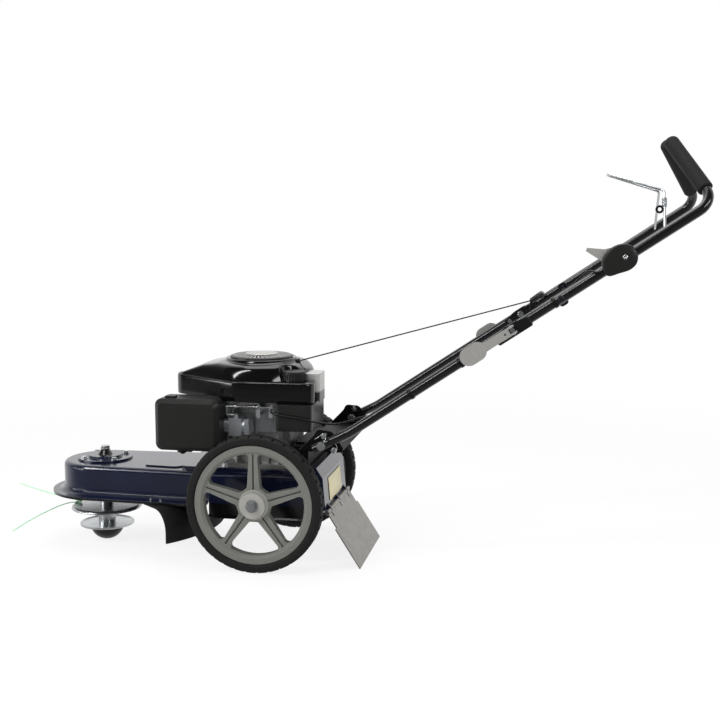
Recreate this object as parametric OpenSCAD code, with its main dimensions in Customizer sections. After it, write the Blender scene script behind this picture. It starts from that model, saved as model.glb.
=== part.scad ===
// Wheeled string trimmer: a petrol engine on a pressed steel deck drives a line head at the nose by a V-belt.
// Millimetres. +X points to the rear, towards the handle, +Y to the machine's right, +Z up.
// The origin is the point on the ground midway between the wheels.

/* [Wheels] */
// Outer diameter of the tyre over its lugs
tyre_d = 355.6; // [330:0.1:380]
// Width of the tyre
tyre_w = 44; // [40:1:48]
// Depth of the tyre from its lugs to the rim's outer edge
tyre_depth = 24; // [20:0.1:30]
// Depth of the rim from its outer edge to the spoke windows
rim_depth = 20.8; // [17:0.1:34]
// Diameter of the wheel's hub
hub_d = 74; // [66:1:80]
// Width of a spoke at the hub
spoke_root_w = 33; // [28:1:36]
// Width of a spoke at the rim
spoke_tip_w = 20; // [16:1:24]
// Number of spokes
spokes = 5; // [5:1:6]
// Number of tread lugs in a row
lugs = 36; // [24:1:40]
// Distance between the middle planes of the wheels
track = 432; // [424:1:450]
// Diameter of the axle
axle_d = 16; // [14:0.5:18]

/* [Deck] */
// Height of the deck's top face
deck_top = 232; // [228:0.5:236]
// Distance from the axle forward to the spindle
spindle_reach = 492; // [480:1:505]
// Radius of the round nose
nose_r = 112; // [106:1:116]
// Half the deck's width where the nose meets the deep rear box
pan_half_w = 126; // [120:1:128]
// Half the width of the rear box
box_half_w = 130; // [129:0.5:134]
// Distance from the axle forward to the front wall of the rear box
box_reach = 150; // [146:1:154]
// Distance from the axle back to the rear wall of the rear box
box_back = 140; // [136:1:144]
// Height of the rear box's lower edge above the ground
box_floor = 112; // [106:1:120]
// Thickness of the pressed steel sheet
sheet = 3; // [2:0.5:4]
// Height of the flange lip's lower edge above the ground
lip_z = 145; // [140:1:150]
// Width of the flared flange
flare_w = 32; // [24:1:36]
// Height of the raised engine platform above the deck
platform_h = 12; // [10:0.5:14]

/* [Cutting head] */
// Diameter of the line plate
line_plate_d = 194; // [184:1:210]
// Height of the line plate's top face
line_plate_z = 100; // [94:0.5:106]
// Diameter of the dished lower disc
lower_disc_d = 149; // [140:1:164]
// Radius of the skid ball
ball_r = 47; // [45:0.5:52]
// Height of the skid ball's top face above the ground
ball_top = 42; // [39:0.5:44]
// Diameter of the spindle in its bearings
spindle_d = 17; // [15:0.5:19]
// Diameter of the trimmer line
line_d = 3; // [2.4:0.1:3.5]
// Radius of the debris flap about the spindle
flap_r = 330; // [322:1:338]
// Height of the debris flap's lower edge
flap_z = 58; // [50:1:70]
// Angle that the debris flap covers
flap_angle = 80; // [70:1:84]

/* [Drive] */
// Distance from the axle forward to the crankshaft
crank_reach = 36; // [32:1:40]
// Outer diameter of the engine pulley
engine_pulley_d = 92; // [86:1:98]
// Outer diameter of the spindle pulley
spindle_pulley_d = 104; // [98:1:110]
// Height of the belt's middle plane
belt_z = 181; // [178:0.5:184]
// Outer width of the V-belt
belt_w = 13; // [11:0.5:14]
// Diameter of the crankshaft
crank_d = 25.4; // [22:0.1:27]
// Diameter of the idler pulley
idler_d = 44; // [40:1:46]

/* [Engine] */
// Height of the crankcase's top face
case_top = 400; // [396:1:404]
// Half the width of the crankcase
case_half_w = 88; // [84:1:90]
// Height of the cowl's lower edge
cowl_z = 427; // [424:1:430]
// Height of the seam between the cowl's band and its dome
seam_z = 480; // [477:1:483]
// Height of the dome's flat round top
dome_z = 528; // [524:1:532]
// Radius of the cowl's round rear part
cowl_r = 148; // [145:1:151]
// Radius of the starter grille
grille_r = 84; // [80:1:88]
// Number of slots in the starter grille
grille_slots = 40; // [24:1:44]
// Diameter of the fuel cap
fuel_cap_d = 60; // [54:1:64]
// Height of the fuel tank's underside
tank_z = 358; // [354:1:364]

/* [Handle] */
// Diameter of the handle tubes
tube_d = 25; // [24:0.5:26]
// Wall of the handle tubes
tube_wall = 1.6; // [1.2:0.1:2.2]
// Distance between the middle lines of the left and right tubes
handle_w = 406; // [400:1:412]
// Slope of the handle above the horizontal
handle_angle = 33.8; // [33:0.1:34.6]
// Slope of the lower tubes' bottom ends
foot_angle = 26.8; // [26:0.1:27.6]
// Distance from the axle back to the bend in the lower tubes
bend_x = 246; // [242:1:250]
// Height of the bend in the lower tubes
bend_z = 370; // [366:1:374]
// Length of the lower tubes from their bend to the fold bolt
lower_len = 480; // [470:1:490]
// Length of the upper tubes from the fold bolt to the corner below the grips
upper_len = 547; // [535:1:560]
// Angle that the grips turn up from the upper tubes
grip_turn = 89; // [86:0.5:93]
// Angle that the grips lean in towards each other
grip_lean = 40; // [34:1:44]
// Bend radius of the tube below the grips
grip_bend = 40; // [36:1:44]
// Diameter of the grips
grip_d = 37; // [33:0.5:40]
// Length of the grips
grip_len = 188; // [176:1:196]
// Diameter of the bail's wire
bail_d = 6.4; // [5:0.2:7]
// Height of the bail's legs above the tubes' middle lines
bail_rise = 97; // [90:1:104]
// Length of the bail's forward arms
bail_arm = 138; // [130:1:146]

/* [Rear] */
// Half the width of the rear cover
cover_half_w = 135; // [134:0.5:140]
// Half the width of the trailing flap
trail_half_w = 150; // [144:1:154]
// Height of the trailing flap's hinge rod
hinge_z = 141; // [138:0.5:144]
// Distance from the axle back to the hinge rod
hinge_x = 172; // [170:0.5:176]
// Slope of the trailing flap away from the vertical
trail_angle = 32.5; // [30:0.5:33]
// Height of the handle bracket's base plate
bracket_z = 318; // [315:0.5:321]

/* [Hidden] */
$fn = 64;
// Clearances: between turning surfaces, between seated pieces, and of loose pins
run_gap = 0.05;
seat_gap = 0.3;
pin_gap = 0.5;

axle_z = tyre_d / 2;
axle_r = axle_d / 2;
wheel_y = track / 2;
spindle_x = -spindle_reach;
crank_x = -crank_reach;
box_x = -box_reach;
platform_top = deck_top + platform_h;
taper = atan((pan_half_w - nose_r) / (spindle_reach - box_reach));
edge_r = 12;
flare_z = lip_z + 25;
tube_r = tube_d / 2;
tube_y = handle_w / 2;
fold_x = bend_x + lower_len * cos(handle_angle);
fold_z = bend_z + lower_len * sin(handle_angle);
spindle_r = spindle_d / 2;
crank_r = crank_d / 2;
belt_h = 8;
belt_seat = 1;
belt_draft = 2;
// Places of the bolts, shared by the pieces that they join
nose_bolt_r = 62;
nose_plate_r = 75;
engine_bolts = [[-118, -88], [-118, 88], [62, -88], [62, 88]];
trail_len = (hinge_z - 1) / cos(trail_angle);

function unit(v) = v / norm(v);

// Points of the arc that rounds the corner b between a and c
function corner_arc(a, b, c, r, n) =
    let (u = unit(a - b), v = unit(c - b), half = acos(u * v) / 2)
    r == 0 || half > 89.9 ? [b] :
    let (t = r / tan(half), o = b + unit(u + v) * r / sin(half), s = b + u * t - o, e = b + v * t - o)
    let (w = 180 - 2 * half)
    [for (k = [0:n]) o + s * sin(w * (1 - k / n)) / sin(w) + e * sin(w * k / n) / sin(w)];

// Closed outline with its corners rounded, one radius for each corner
function rounded(p, r, n = 5) = [for (i = [0:len(p) - 1])
    each corner_arc(p[(i + len(p) - 1) % len(p)], p[i], p[(i + 1) % len(p)], is_list(r) ? r[i] : r, n)];

// Open path with its inner corners rounded
function rounded_path(p, r, n = 5) = concat([p[0]],
    [for (i = [1:len(p) - 2]) each corner_arc(p[i - 1], p[i], p[i + 1], r, n)], [p[len(p) - 1]]);

// Smooth curve through the points p, with n steps between neighbours
function curve_at(p, i, t) =
    let (a = p[max(i - 1, 0)], b = p[i], c = p[i + 1], d = p[min(i + 2, len(p) - 1)])
    0.5 * (2 * b + (c - a) * t + (2 * a - 5 * b + 4 * c - d) * t * t + (3 * b - a - 3 * c + d) * t * t * t);
function curve(p, n) = concat([for (i = [0:len(p) - 2]) for (k = [0:n - 1]) curve_at(p, i, k / n)],
    [p[len(p) - 1]]);

// Round wire along the points p
module wire(p, r, sides = 8) {
    m = len(p);
    ref = unit([0.35, 0.55, -0.76]);
    rings = [for (i = [0:m - 1])
        let (t = unit(p[min(i + 1, m - 1)] - p[max(i - 1, 0)]), u = unit(cross(t, ref)), v = cross(t, u))
        for (k = [0:sides - 1]) p[i] + r * (cos(360 * k / sides) * u + sin(360 * k / sides) * v)];
    side_faces = [for (i = [0:m - 2]) for (k = [0:sides - 1])
        let (a = i * sides + k, b = i * sides + (k + 1) % sides)
        each [[a, a + sides, b], [b, a + sides, b + sides]]];
    ends = [[for (k = [0:sides - 1]) k], [for (k = [sides - 1:-1:0]) (m - 1) * sides + k]];
    polyhedron(rings, concat(side_faces, ends));
}

// Cylinder along Y from y0 to y1
module along_y(r, y0, y1) {
    translate([0, y0, 0]) rotate([-90, 0, 0]) cylinder(r = r, h = y1 - y0);
}

// Flat plate in the XZ plane from y0 to y1
module xz_plate(y0, y1) {
    translate([0, y1, 0]) rotate([90, 0, 0]) linear_extrude(y1 - y0) children();
}

// Flat plate in the YZ plane from x0 to x1
module yz_plate(x0, x1) {
    translate([x0, 0, 0]) rotate([90, 0, 90]) linear_extrude(x1 - x0) children();
}

// The piece and its mirror image on the other side of the machine
module both_sides() {
    children();
    mirror([0, 1, 0]) children();
}

// Places a piece in the handle's own directions: X along the tube, Z across it, origin on the fold bolt
module at_fold(y) {
    translate([fold_x, y, fold_z]) rotate([0, -handle_angle, 0]) children();
}

// Bent round bar in the XZ plane through the points p
module bent_bar(p, r, bend) {
    m = len(p);
    bend_thin = 0.1;
    bend_lap = 0.5;
    function heading(i) = atan2(p[i + 1][1] - p[i][1], p[i + 1][0] - p[i][0]);
    function turn(i) = i <= 0 || i >= m - 1 ? 0 : heading(i) - heading(i - 1);
    function cut(i) = bend * tan(abs(turn(i)) / 2);
    function trim(i) = turn(i) == 0 ? 0 : cut(i) - bend_lap;
    rotate([90, 0, 0]) for (i = [0:m - 2]) {
        translate([p[i][0] + trim(i) * cos(heading(i)), p[i][1] + trim(i) * sin(heading(i)), 0])
            rotate([0, 90, heading(i)])
                cylinder(r = r, h = norm(p[i + 1] - p[i]) - trim(i) - trim(i + 1));
        if (i > 0) {
            side = turn(i) > 0 ? 1 : -1;
            before = heading(i - 1);
            start = p[i] - cut(i) * [cos(before), sin(before)];
            middle = start + side * bend * [-sin(before), cos(before)];
            translate([middle[0], middle[1], 0]) rotate([0, 0, before - side * 90 + min(turn(i), 0)])
                rotate_extrude(angle = abs(turn(i))) translate([bend, 0]) circle(r - bend_thin);
        }
    }
}

// Hexagon bolt head with a washer, standing on z = 0
module bolt_head(r) {
    cylinder(r = r * 2.2, h = r * 0.4);
    cylinder(r = r * 1.75, h = r * 1.6, $fn = 6);
}

// Wheels
rim_r = tyre_d / 2 - tyre_depth;
window_r = rim_r - rim_depth;
hub_r = hub_d / 2;
rim_half_w = tyre_w / 2 - 4;
bead_r = rim_r - 8;
web_t = 22;
hub_len = 50;
hub_inner_r = hub_r + 9;

module wheel_window() {
    root = asin(spoke_root_w / 2 / hub_inner_r);
    tip = asin(spoke_tip_w / 2 / window_r);
    pitch = 360 / spokes;
    span = pitch - 2 * tip;
    steps = 8;
    inner_fillet = 7;
    outer_fillet = 11;
    corners = concat([[hub_inner_r, root]], [for (k = [0:steps]) [window_r, tip + span * k / steps]],
        [[hub_inner_r, pitch - root]]);
    radii = concat([inner_fillet, outer_fillet], [for (k = [2:steps]) 0], [outer_fillet, inner_fillet]);
    polygon(rounded([for (c = corners) c[0] * [cos(c[1]), sin(c[1])]], radii));
}

module wheel_body() {
    groove_r = (hub_r + window_r) / 2;
    groove_depth = 6;
    difference() {
        union() {
            rotate_extrude() polygon([[window_r - 1, -web_t / 2], [window_r + 6, -rim_half_w],
                [rim_r, -rim_half_w], [rim_r, 3 - rim_half_w], [bead_r, 7 - rim_half_w],
                [bead_r, rim_half_w - 7], [rim_r, rim_half_w - 3], [rim_r, rim_half_w],
                [window_r + 6, rim_half_w], [window_r - 1, web_t / 2]]);
            linear_extrude(web_t, center = true) difference() {
                circle(window_r + 1);
                for (k = [0:spokes - 1]) rotate(360 / spokes * k) wheel_window();
            }
            cylinder(r1 = hub_r, r2 = hub_r - 4, h = hub_len / 2);
            mirror([0, 0, 1]) cylinder(r1 = hub_r, r2 = hub_r - 4, h = hub_len / 2);
        }
        for (k = [0:spokes - 1]) for (face = [-1, 1]) rotate(360 / spokes * k)
            translate([groove_r, 0, face * (web_t / 2)])
                cube([window_r - hub_r - 4, 5, groove_depth * 2], center = true);
        cylinder(r = axle_r + run_gap, h = hub_len + 2, center = true);
    }
}

module tyre_body() {
    crown_r = tyre_d / 2;
    shoulder = 9;
    groove = 3.2;
    half_w = tyre_w / 2;
    difference() {
        rotate_extrude() polygon(rounded([[bead_r + seat_gap, 7.3 - rim_half_w], [rim_r + 1,
            3.5 - rim_half_w],
            [rim_r + 1, -half_w], [crown_r, -half_w], [crown_r, half_w], [rim_r + 1, half_w],
            [rim_r + 1, rim_half_w - 3.5], [bead_r + seat_gap, rim_half_w - 7.3]],
            [0, 0, 6, shoulder, shoulder, 6, 0, 0]));
        for (k = [0:lugs - 1]) for (row = [-1, 1]) rotate(360 / lugs * (k + row / 4))
            translate([crown_r, 0, row * half_w * 0.62]) cube([2 * groove, 6, half_w * 0.9], center = true);
        rotate_extrude() translate([crown_r, 0]) square([2 * groove, 3], center = true);
    }
}

module on_axle(y) {
    translate([0, y, axle_z]) rotate([90, 0, 0]) rotate(90) children();
}

module wheel_left() { color("darkgray") on_axle(-wheel_y) wheel_body(); }
module wheel_right() { color("darkgray") on_axle(wheel_y) wheel_body(); }
module tyre_left() { color("dimgray") on_axle(-wheel_y) tyre_body(); }
module tyre_right() { color("dimgray") on_axle(wheel_y) tyre_body(); }

sleeve_end = wheel_y - hub_len / 2 - 2;
nut_y = wheel_y + hub_len / 2 + seat_gap;
washer_t = 3;

// Stub axles: each has a head inside the deck's side wall, clear of the engine pulley between them
module axle_stubs() {
    head_t = 5;
    wall_in = box_half_w - sheet - seat_gap;
    color("silver") both_sides() translate([0, 0, axle_z]) {
        along_y(axle_r, wall_in - head_t, nut_y + washer_t + 6);
        along_y(axle_r + 7, wall_in - head_t, wall_in);
    }
}

module axle_nuts() {
    nut_h = 13;
    color("gainsboro") both_sides() translate([0, nut_y, axle_z]) rotate([-90, 0, 0]) difference() {
        union() {
            cylinder(r = axle_r + 8, h = washer_t);
            translate([0, 0, washer_t]) cylinder(r = axle_r + 5, h = nut_h - 5, $fn = 6);
            translate([0, 0, washer_t]) cylinder(r = axle_r + 3, h = nut_h);
        }
        cylinder(r = axle_r + run_gap, h = washer_t + 6.2);
    }
}

// Deck
function arc_points(r, x, z, a0, a1, n) =
    [for (k = [0:n]) let (a = a0 + (a1 - a0) * k / n) [x + r * cos(a), z + r * sin(a)]];

// Section of the pan's side: rounded top edge, straight wall, flared flange and its lip
flare_r = 18;
rim_lap = 4;
rim_section = concat([[-edge_r - rim_lap, deck_top]],
    arc_points(edge_r, -edge_r, deck_top - edge_r, 90, 0, 5),
    arc_points(flare_r, flare_r, flare_z, 180, 270, 6),
    [[flare_w, flare_z - flare_r], [flare_w, lip_z], [flare_w - sheet, lip_z],
        [flare_w - sheet, flare_z - flare_r - sheet]],
    arc_points(flare_r + sheet, flare_r, flare_z, 270, 180, 6),
    arc_points(edge_r - sheet, -edge_r, deck_top - edge_r, 0, 90, 5), [[-edge_r - rim_lap,
        deck_top - sheet]]);
bead_w = 5;
box_section = concat(
    arc_points(edge_r, -edge_r, deck_top - edge_r, 90, 0, 5),
    [[0, box_floor + 8], [bead_w, box_floor + 4], [bead_w, box_floor], [bead_w - sheet, box_floor],
        [bead_w - sheet, box_floor + 3], [-sheet, box_floor + 7]],
    arc_points(edge_r - sheet, -edge_r, deck_top - edge_r, 0, 90, 5));

// Half the pan's width at a distance x from the axle
function pan_half(x) = (nose_r + (x - spindle_x) * sin(taper)) / cos(taper);
flap_bolts = [for (x = [-309, -281]) [x, pan_half(x) + flare_r - 3]];

// Flat top of the front pan: a round nose and the tapering part behind it
module pan_top() {
    r = nose_r - edge_r;
    front = (r - 1) * [-sin(taper), cos(taper)] - 5 * [cos(taper), sin(taper)];
    back_x = box_x + 1 - spindle_x;
    back_y = front[1] + (back_x - front[0]) * tan(taper);
    translate([spindle_x, 0, deck_top - sheet]) linear_extrude(sheet) {
        circle(r - 3);
        polygon([front, [back_x, back_y], [back_x, -back_y], [front[0], -front[1]]]);
    }
}

platform = [[-235, -112], [box_back - 22, -112], [box_back - 22, 112], [-235, 112]];
platform_r = 22;

module deck_pan() {
    wall_run = (box_x - spindle_x + nose_r * sin(taper)) / cos(taper);
    window_half_w = 105;
    window_z = 160;
    post_hole_r = spindle_r + 24;
    color("midnightblue") difference() {
        union() {
            pan_top();
            translate([spindle_x, 0, 0]) rotate(90 + taper)
                rotate_extrude(angle = 180 - 2 * taper) translate([nose_r, 0]) polygon(rim_section);
            both_sides() {
                translate([spindle_x - nose_r * sin(taper), nose_r * cos(taper), 0]) rotate(taper)
                    rotate([90, 0, 90]) linear_extrude(wall_run) polygon(rim_section);
                translate([box_x, box_half_w, 0]) rotate([90, 0, 90])
                    linear_extrude(box_back - box_x) polygon(box_section);
                translate([0, 0, axle_z]) along_y(axle_r + 6, box_half_w - sheet, sleeve_end);
            }
            translate([box_x, edge_r - box_half_w, deck_top - sheet])
                cube([box_back - box_x, 2 * (box_half_w - edge_r), sheet]);
            yz_plate(box_x, box_x + sheet) difference() {
                translate([-box_half_w, box_floor]) square([2 * box_half_w, deck_top - edge_r - box_floor]);
                translate([-window_half_w, window_z]) square([2 * window_half_w, deck_top]);
            }
            yz_plate(box_back - sheet, box_back)
                translate([-box_half_w, box_floor]) square([2 * box_half_w, deck_top - edge_r - box_floor]);
            translate([0, 0, deck_top]) linear_extrude(platform_h) polygon(rounded(platform, platform_r));
        }
        translate([0, 0, axle_z]) along_y(axle_r + run_gap, -wheel_y, wheel_y);
        translate([0, 0, deck_top - sheet - 1]) linear_extrude(platform_h + 1)
            polygon(rounded([for (p = platform) p - sheet * [sign(p[0]), sign(p[1])]], platform_r - sheet));
        translate([crank_x, 0, deck_top - sheet - 1]) cylinder(r = crank_r + 20,
            h = platform_h + sheet + 2);
        translate([spindle_x, 0, deck_top - sheet - 1]) cylinder(r = post_hole_r, h = sheet + 2);
        for (a = [45:90:315]) rotate_about_spindle(a) translate([nose_bolt_r, 0, deck_top - sheet - 1])
            cylinder(r = bolt_r + pin_gap, h = sheet + 2);
        for (b = engine_bolts) translate([b[0], b[1], platform_top - sheet - 1])
            cylinder(r = bolt_r + pin_gap, h = sheet + 2);
        both_sides() for (b = flap_bolts) translate([b[0], b[1], lip_z]) cylinder(r = 3 + pin_gap, h = 20);
    }
}

module belt_cover() {
    plate_t = 3.5;
    front = -345;
    back = platform[0][0] - 4;
    half_w = 88;
    draw_in = 8;
    color("slategray") translate([0, 0, deck_top]) linear_extrude(plate_t)
        polygon(rounded([[front, draw_in - half_w], [back, -half_w], [back, half_w], [front,
            half_w - draw_in]],
            [6, 24, 24, 6]));
}

boot_r = 21;
boot_h = 14;
nose_t = 5;
shelf_t = 6;
boot_base = deck_top + nose_t + shelf_t;
housing_flange_t = 5;
bolt_r = 4;

module nose_plate() {
    shelf_r = 50;
    color("darkslategray") translate([spindle_x, 0, deck_top]) difference() {
        union() {
            cylinder(r = nose_plate_r, h = nose_t);
            cylinder(r1 = shelf_r, r2 = shelf_r - 4, h = nose_t + shelf_t);
            translate([0, 0, nose_t + shelf_t]) cylinder(r1 = boot_r, r2 = spindle_r + 3, h = boot_h);
        }
        translate([0, 0, -1]) cylinder(r = spindle_r + pin_gap, h = 40);
        for (a = [45:90:315]) rotate(a) translate([nose_bolt_r, 0, -1])
            cylinder(r = bolt_r + pin_gap, h = nose_t + 2);
    }
}

housing_floor = belt_z + belt_w / 2 + 8;
bearing_r = 20;
bearing_t = 12;
bearing_gap = 2;

module spindle_housing() {
    rib_t = 6;
    top = deck_top - sheet;
    color("silver") translate([spindle_x, 0, 0]) difference() {
        union() {
            translate([0, 0, top - housing_flange_t]) cylinder(r = nose_plate_r - 2, h = housing_flange_t);
            translate([0, 0, housing_floor]) cylinder(r = bearing_r + 10, h = top - housing_floor);
            for (a = [0:90:270]) rotate(a) translate([bearing_r + 8, -rib_t / 2, housing_floor + 8])
                cube([24, rib_t, top - housing_floor - 9]);
        }
        translate([0, 0, housing_floor - 1]) cylinder(r = bearing_r - 5, h = 60);
        translate([0, 0, housing_floor + 4]) cylinder(r = bearing_r + run_gap, h = 60);
        for (a = [45:90:315]) rotate(a) translate([nose_bolt_r, 0, housing_floor])
            cylinder(r = bolt_r + pin_gap, h = 60);
    }
}

module spindle_bearings() {
    color("gainsboro") translate([spindle_x, 0, housing_floor + 4]) for (k = [0, 1])
        translate([0, 0, k * (bearing_t + bearing_gap)]) difference() {
            cylinder(r = bearing_r, h = bearing_t);
            translate([0, 0, -1]) cylinder(r = spindle_r + run_gap, h = bearing_t + 2);
        }
}

module deck_bolts() {
    nose_grip = nose_t + sheet + housing_flange_t;
    flap_bolt_r = 3;
    color("gainsboro") {
        for (a = [45:90:315]) rotate_about_spindle(a) translate([nose_bolt_r, 0, deck_top + nose_t]) {
            bolt_head(bolt_r);
            translate([0, 0, -nose_grip]) {
                cylinder(r = bolt_r, h = nose_grip + 1);
                mirror([0, 0, 1]) bolt_head(bolt_r);
            }
        }
        for (b = engine_bolts) translate([b[0], b[1], platform_top]) {
            translate([0, 0, base_t]) bolt_head(bolt_r);
            translate([0, 0, -sheet]) {
                cylinder(r = bolt_r, h = base_t + sheet + 1);
                mirror([0, 0, 1]) bolt_head(bolt_r);
            }
        }
        both_sides() for (b = flap_bolts) translate([b[0], b[1], lip_z - flap_t]) {
            mirror([0, 0, 1]) bolt_head(flap_bolt_r);
            cylinder(r = flap_bolt_r, h = flap_t + 12);
        }
        idler_bolt();
    }
}

// Cutting head
module rotate_about_spindle(a) {
    translate([spindle_x, 0, 0]) rotate(a) children();
}

spindle_top = boot_base + 20;
collar_r = 18;
pulley_half_t = belt_w / 2 + 3;
plate_t = 3;

module spindle_shaft() {
    collar_top = belt_z - pulley_half_t;
    color("silver") translate([spindle_x, 0, 0]) union() {
        translate([0, 0, ball_top + 2]) cylinder(r = spindle_r, h = spindle_top - ball_top - 2);
        translate([0, 0, line_plate_z]) cylinder(r = collar_r, h = collar_top - line_plate_z);
        translate([0, 0, boot_base + boot_h + seat_gap]) {
            cylinder(r = spindle_r * 1.6, h = 3);
            cylinder(r = spindle_r * 1.5, h = 9, $fn = 6);
        }
    }
}

// V-pulley that a belt of outer radius r runs in, centred on z = 0
module v_pulley(r, shaft_r) {
    bore_r = shaft_r + run_gap;
    root_r = r - belt_h - 2;
    lip = belt_w / 2 + 0.6;
    root = lip - belt_draft * (r - root_r) / belt_h;
    rotate_extrude() polygon([[bore_r, -pulley_half_t], [r, -pulley_half_t], [r, -lip], [root_r, -root],
        [root_r, root], [r, lip], [r, pulley_half_t], [bore_r, pulley_half_t]]);
}

module spindle_pulley() {
    color("gray") translate([spindle_x, 0, belt_z]) v_pulley(spindle_pulley_d / 2, spindle_r);
}

module line_plate() {
    r = line_plate_d / 2;
    curl = 8;
    z = line_plate_z;
    hole_r = 4;
    color("lightsteelblue") translate([spindle_x, 0, 0]) difference() {
        rotate_extrude() polygon(concat([[spindle_r + run_gap, z - plate_t], [spindle_r + run_gap, z]],
            arc_points(curl, r - curl, z - curl, 90, 0, 5),
            arc_points(curl - plate_t, r - curl, z - curl, 0, 90, 5)));
        for (a = [0:90:270]) rotate(a + 8) translate([r - 18, 0, z - plate_t - 1])
            cylinder(r = hole_r, h = plate_t + 2);
    }
}

hub_z = ball_top + 4;

module lower_disc() {
    r = lower_disc_d / 2;
    boss_r = 24;
    bore_r = spindle_r + run_gap;
    dish = ball_top + 1;
    seat_r = 47;
    top = line_plate_z - plate_t;
    color("silver") translate([spindle_x, 0, 0]) rotate_extrude() polygon([[bore_r, ball_top], [seat_r,
        ball_top],
        [r - 4, dish], [r, dish + 1], [r, dish + 6], [r - 3, dish + 6], [r - 5, dish + 3.5], [seat_r - 2,
            hub_z], [boss_r, hub_z],
        [boss_r, top - 6], [boss_r - 6, top], [bore_r, top]]);
}

module skid_ball() {
    color("black") translate([spindle_x, 0, 0]) intersection() {
        translate([0, 0, ball_r]) sphere(ball_r);
        cylinder(r = ball_r, h = ball_top);
    }
}

// The trimmer line: one length doubled through the plate's hole, its two strands curving away from the knot
line_bed = line_plate_z + 2;
line_route = [[-778, 49, 133.2], [-748, 42, 127], [-712, 34, 120.5], [-672, 26, 114], [-632, 20, 107.5],
    [-606, 16, line_bed + 1.5], [-588, 12, line_bed], [-578, 2, line_bed], [-582, -9, line_bed],
    [-596, -22, line_bed],
    [-612, -50, 100], [-628, -95, 95], [-642, -142, 89], [-653, -188, 82], [-662, -229, 75]];

module trimmer_line() {
    color("limegreen") wire(curve(line_route, 4), line_d / 2);
}

flap_t = 5;

module debris_flap() {
    bend = 58;
    inner_r = 212;
    top = lip_z;
    gap_half_w = 112;
    gap_z = 100;
    color("black") difference() {
        rotate_about_spindle(-flap_angle / 2) rotate_extrude(angle = flap_angle)
            polygon(concat([[inner_r, top]],
            arc_points(bend, flap_r - bend, top - bend, 90, 0, 8),
            [[flap_r, flap_z], [flap_r - flap_t, flap_z]],
            arc_points(bend - flap_t, flap_r - bend, top - bend, 0, 90, 8), [[inner_r, top - flap_t]]));
        translate([spindle_x, -gap_half_w, gap_z]) cube([flap_r + 5, 2 * gap_half_w, 100]);
        both_sides() for (b = flap_bolts) translate([b[0], b[1], lip_z - flap_t - 1])
            cylinder(r = 3 + pin_gap, h = flap_t + 2);
    }
}

// Belt drive
belt_engine_r = engine_pulley_d / 2 - belt_seat;
belt_spindle_r = spindle_pulley_d / 2 - belt_seat;
belt_span = crank_x - spindle_x;
belt_lean = asin((belt_spindle_r - belt_engine_r) / belt_span);

module drive_belt() {
    steps = 24;
    root = belt_w / 2 - belt_draft;
    section = [[0, -belt_w / 2], [0, belt_w / 2], [-belt_h, root], [-belt_h, -root]];
    stations = concat(
        [for (k = [0:steps]) [spindle_x, belt_spindle_r, 90 - belt_lean + (180 + 2 * belt_lean)
            * k / steps]],
        [for (k = [0:steps]) [crank_x, belt_engine_r, 270 + belt_lean + (180 - 2 * belt_lean)
            * k / steps]]);
    points = [for (t = stations) for (q = section)
        [t[0] + (t[1] + q[0]) * cos(t[2]), (t[1] + q[0]) * sin(t[2]), belt_z + q[1]]];
    m = len(points);
    color("dimgray") polyhedron(points, [for (i = [0:4:m - 4]) for (k = [0:3])
        [i + k, (i + 4 + k) % m, (i + 4 + (k + 1) % 4) % m, i + (k + 1) % 4]]);
}

module engine_pulley() {
    color("gray") translate([crank_x, 0, belt_z]) v_pulley(engine_pulley_d / 2, crank_r);
}

// The idler's arm turns on a bolt under the deck; at rest its pulley stands clear of the belt's outer face
idler_pivot = [-205, 84];
idler_arm_len = 92;
idler_pos = idler_pivot + [-idler_arm_len, 0];
idler_r = idler_d / 2;
idler_half_w = belt_w / 2 + 2.5;
idler_pin_r = 5;
idler_arm_t = 4;
idler_arm_z = belt_z + idler_half_w + seat_gap;

module idler_arm() {
    arm_w = 18;
    pin_z = belt_z - idler_half_w - seat_gap;
    cap_t = 3;
    color("gray") {
        translate([0, 0, idler_arm_z]) difference() {
            union() {
                translate(idler_pivot) cylinder(r = 14, h = idler_arm_t);
                translate(idler_pos) cylinder(r = 11, h = idler_arm_t);
                translate([idler_pos[0], idler_pivot[1] - arm_w / 2, 0]) cube([idler_arm_len, arm_w,
                    idler_arm_t]);
            }
            translate([idler_pivot[0], idler_pivot[1], -1]) cylinder(r = idler_pin_r + run_gap,
                h = idler_arm_t + 2);
        }
        translate([idler_pos[0], idler_pos[1], pin_z - cap_t]) {
            cylinder(r = idler_pin_r, h = idler_arm_z - pin_z + cap_t + 1);
            cylinder(r = idler_pin_r + 4, h = cap_t);
        }
    }
}

module idler_pulley() {
    bore_r = idler_pin_r + run_gap;
    lip_r = idler_r + 3;
    lip_t = 1.5;
    half = [[bore_r, idler_half_w], [lip_r, idler_half_w], [lip_r, idler_half_w - lip_t], [idler_r,
        belt_w / 2 + 0.5]];
    color("black") translate([idler_pos[0], idler_pos[1], belt_z])
        rotate_extrude() polygon(concat(half, [for (k = [3:-1:0]) [half[k][0], -half[k][1]]]));
}

module idler_bolt() {
    arm_top = idler_arm_z + idler_arm_t + seat_gap;
    translate([idler_pivot[0], idler_pivot[1], idler_arm_z - seat_gap]) {
        mirror([0, 0, 1]) bolt_head(idler_pin_r);
        translate([0, 0, -1]) cylinder(r = idler_pin_r, h = deck_top - sheet - idler_arm_z + seat_gap + 1);
    }
    translate([idler_pivot[0], idler_pivot[1], arm_top]) cylinder(r = idler_pin_r + 4,
        h = deck_top - sheet - arm_top);
}

// Engine
base_t = 12;
case_back = 65;
case_front = -105;
cylinder_z = 348;
cylinder_front = -222;

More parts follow.
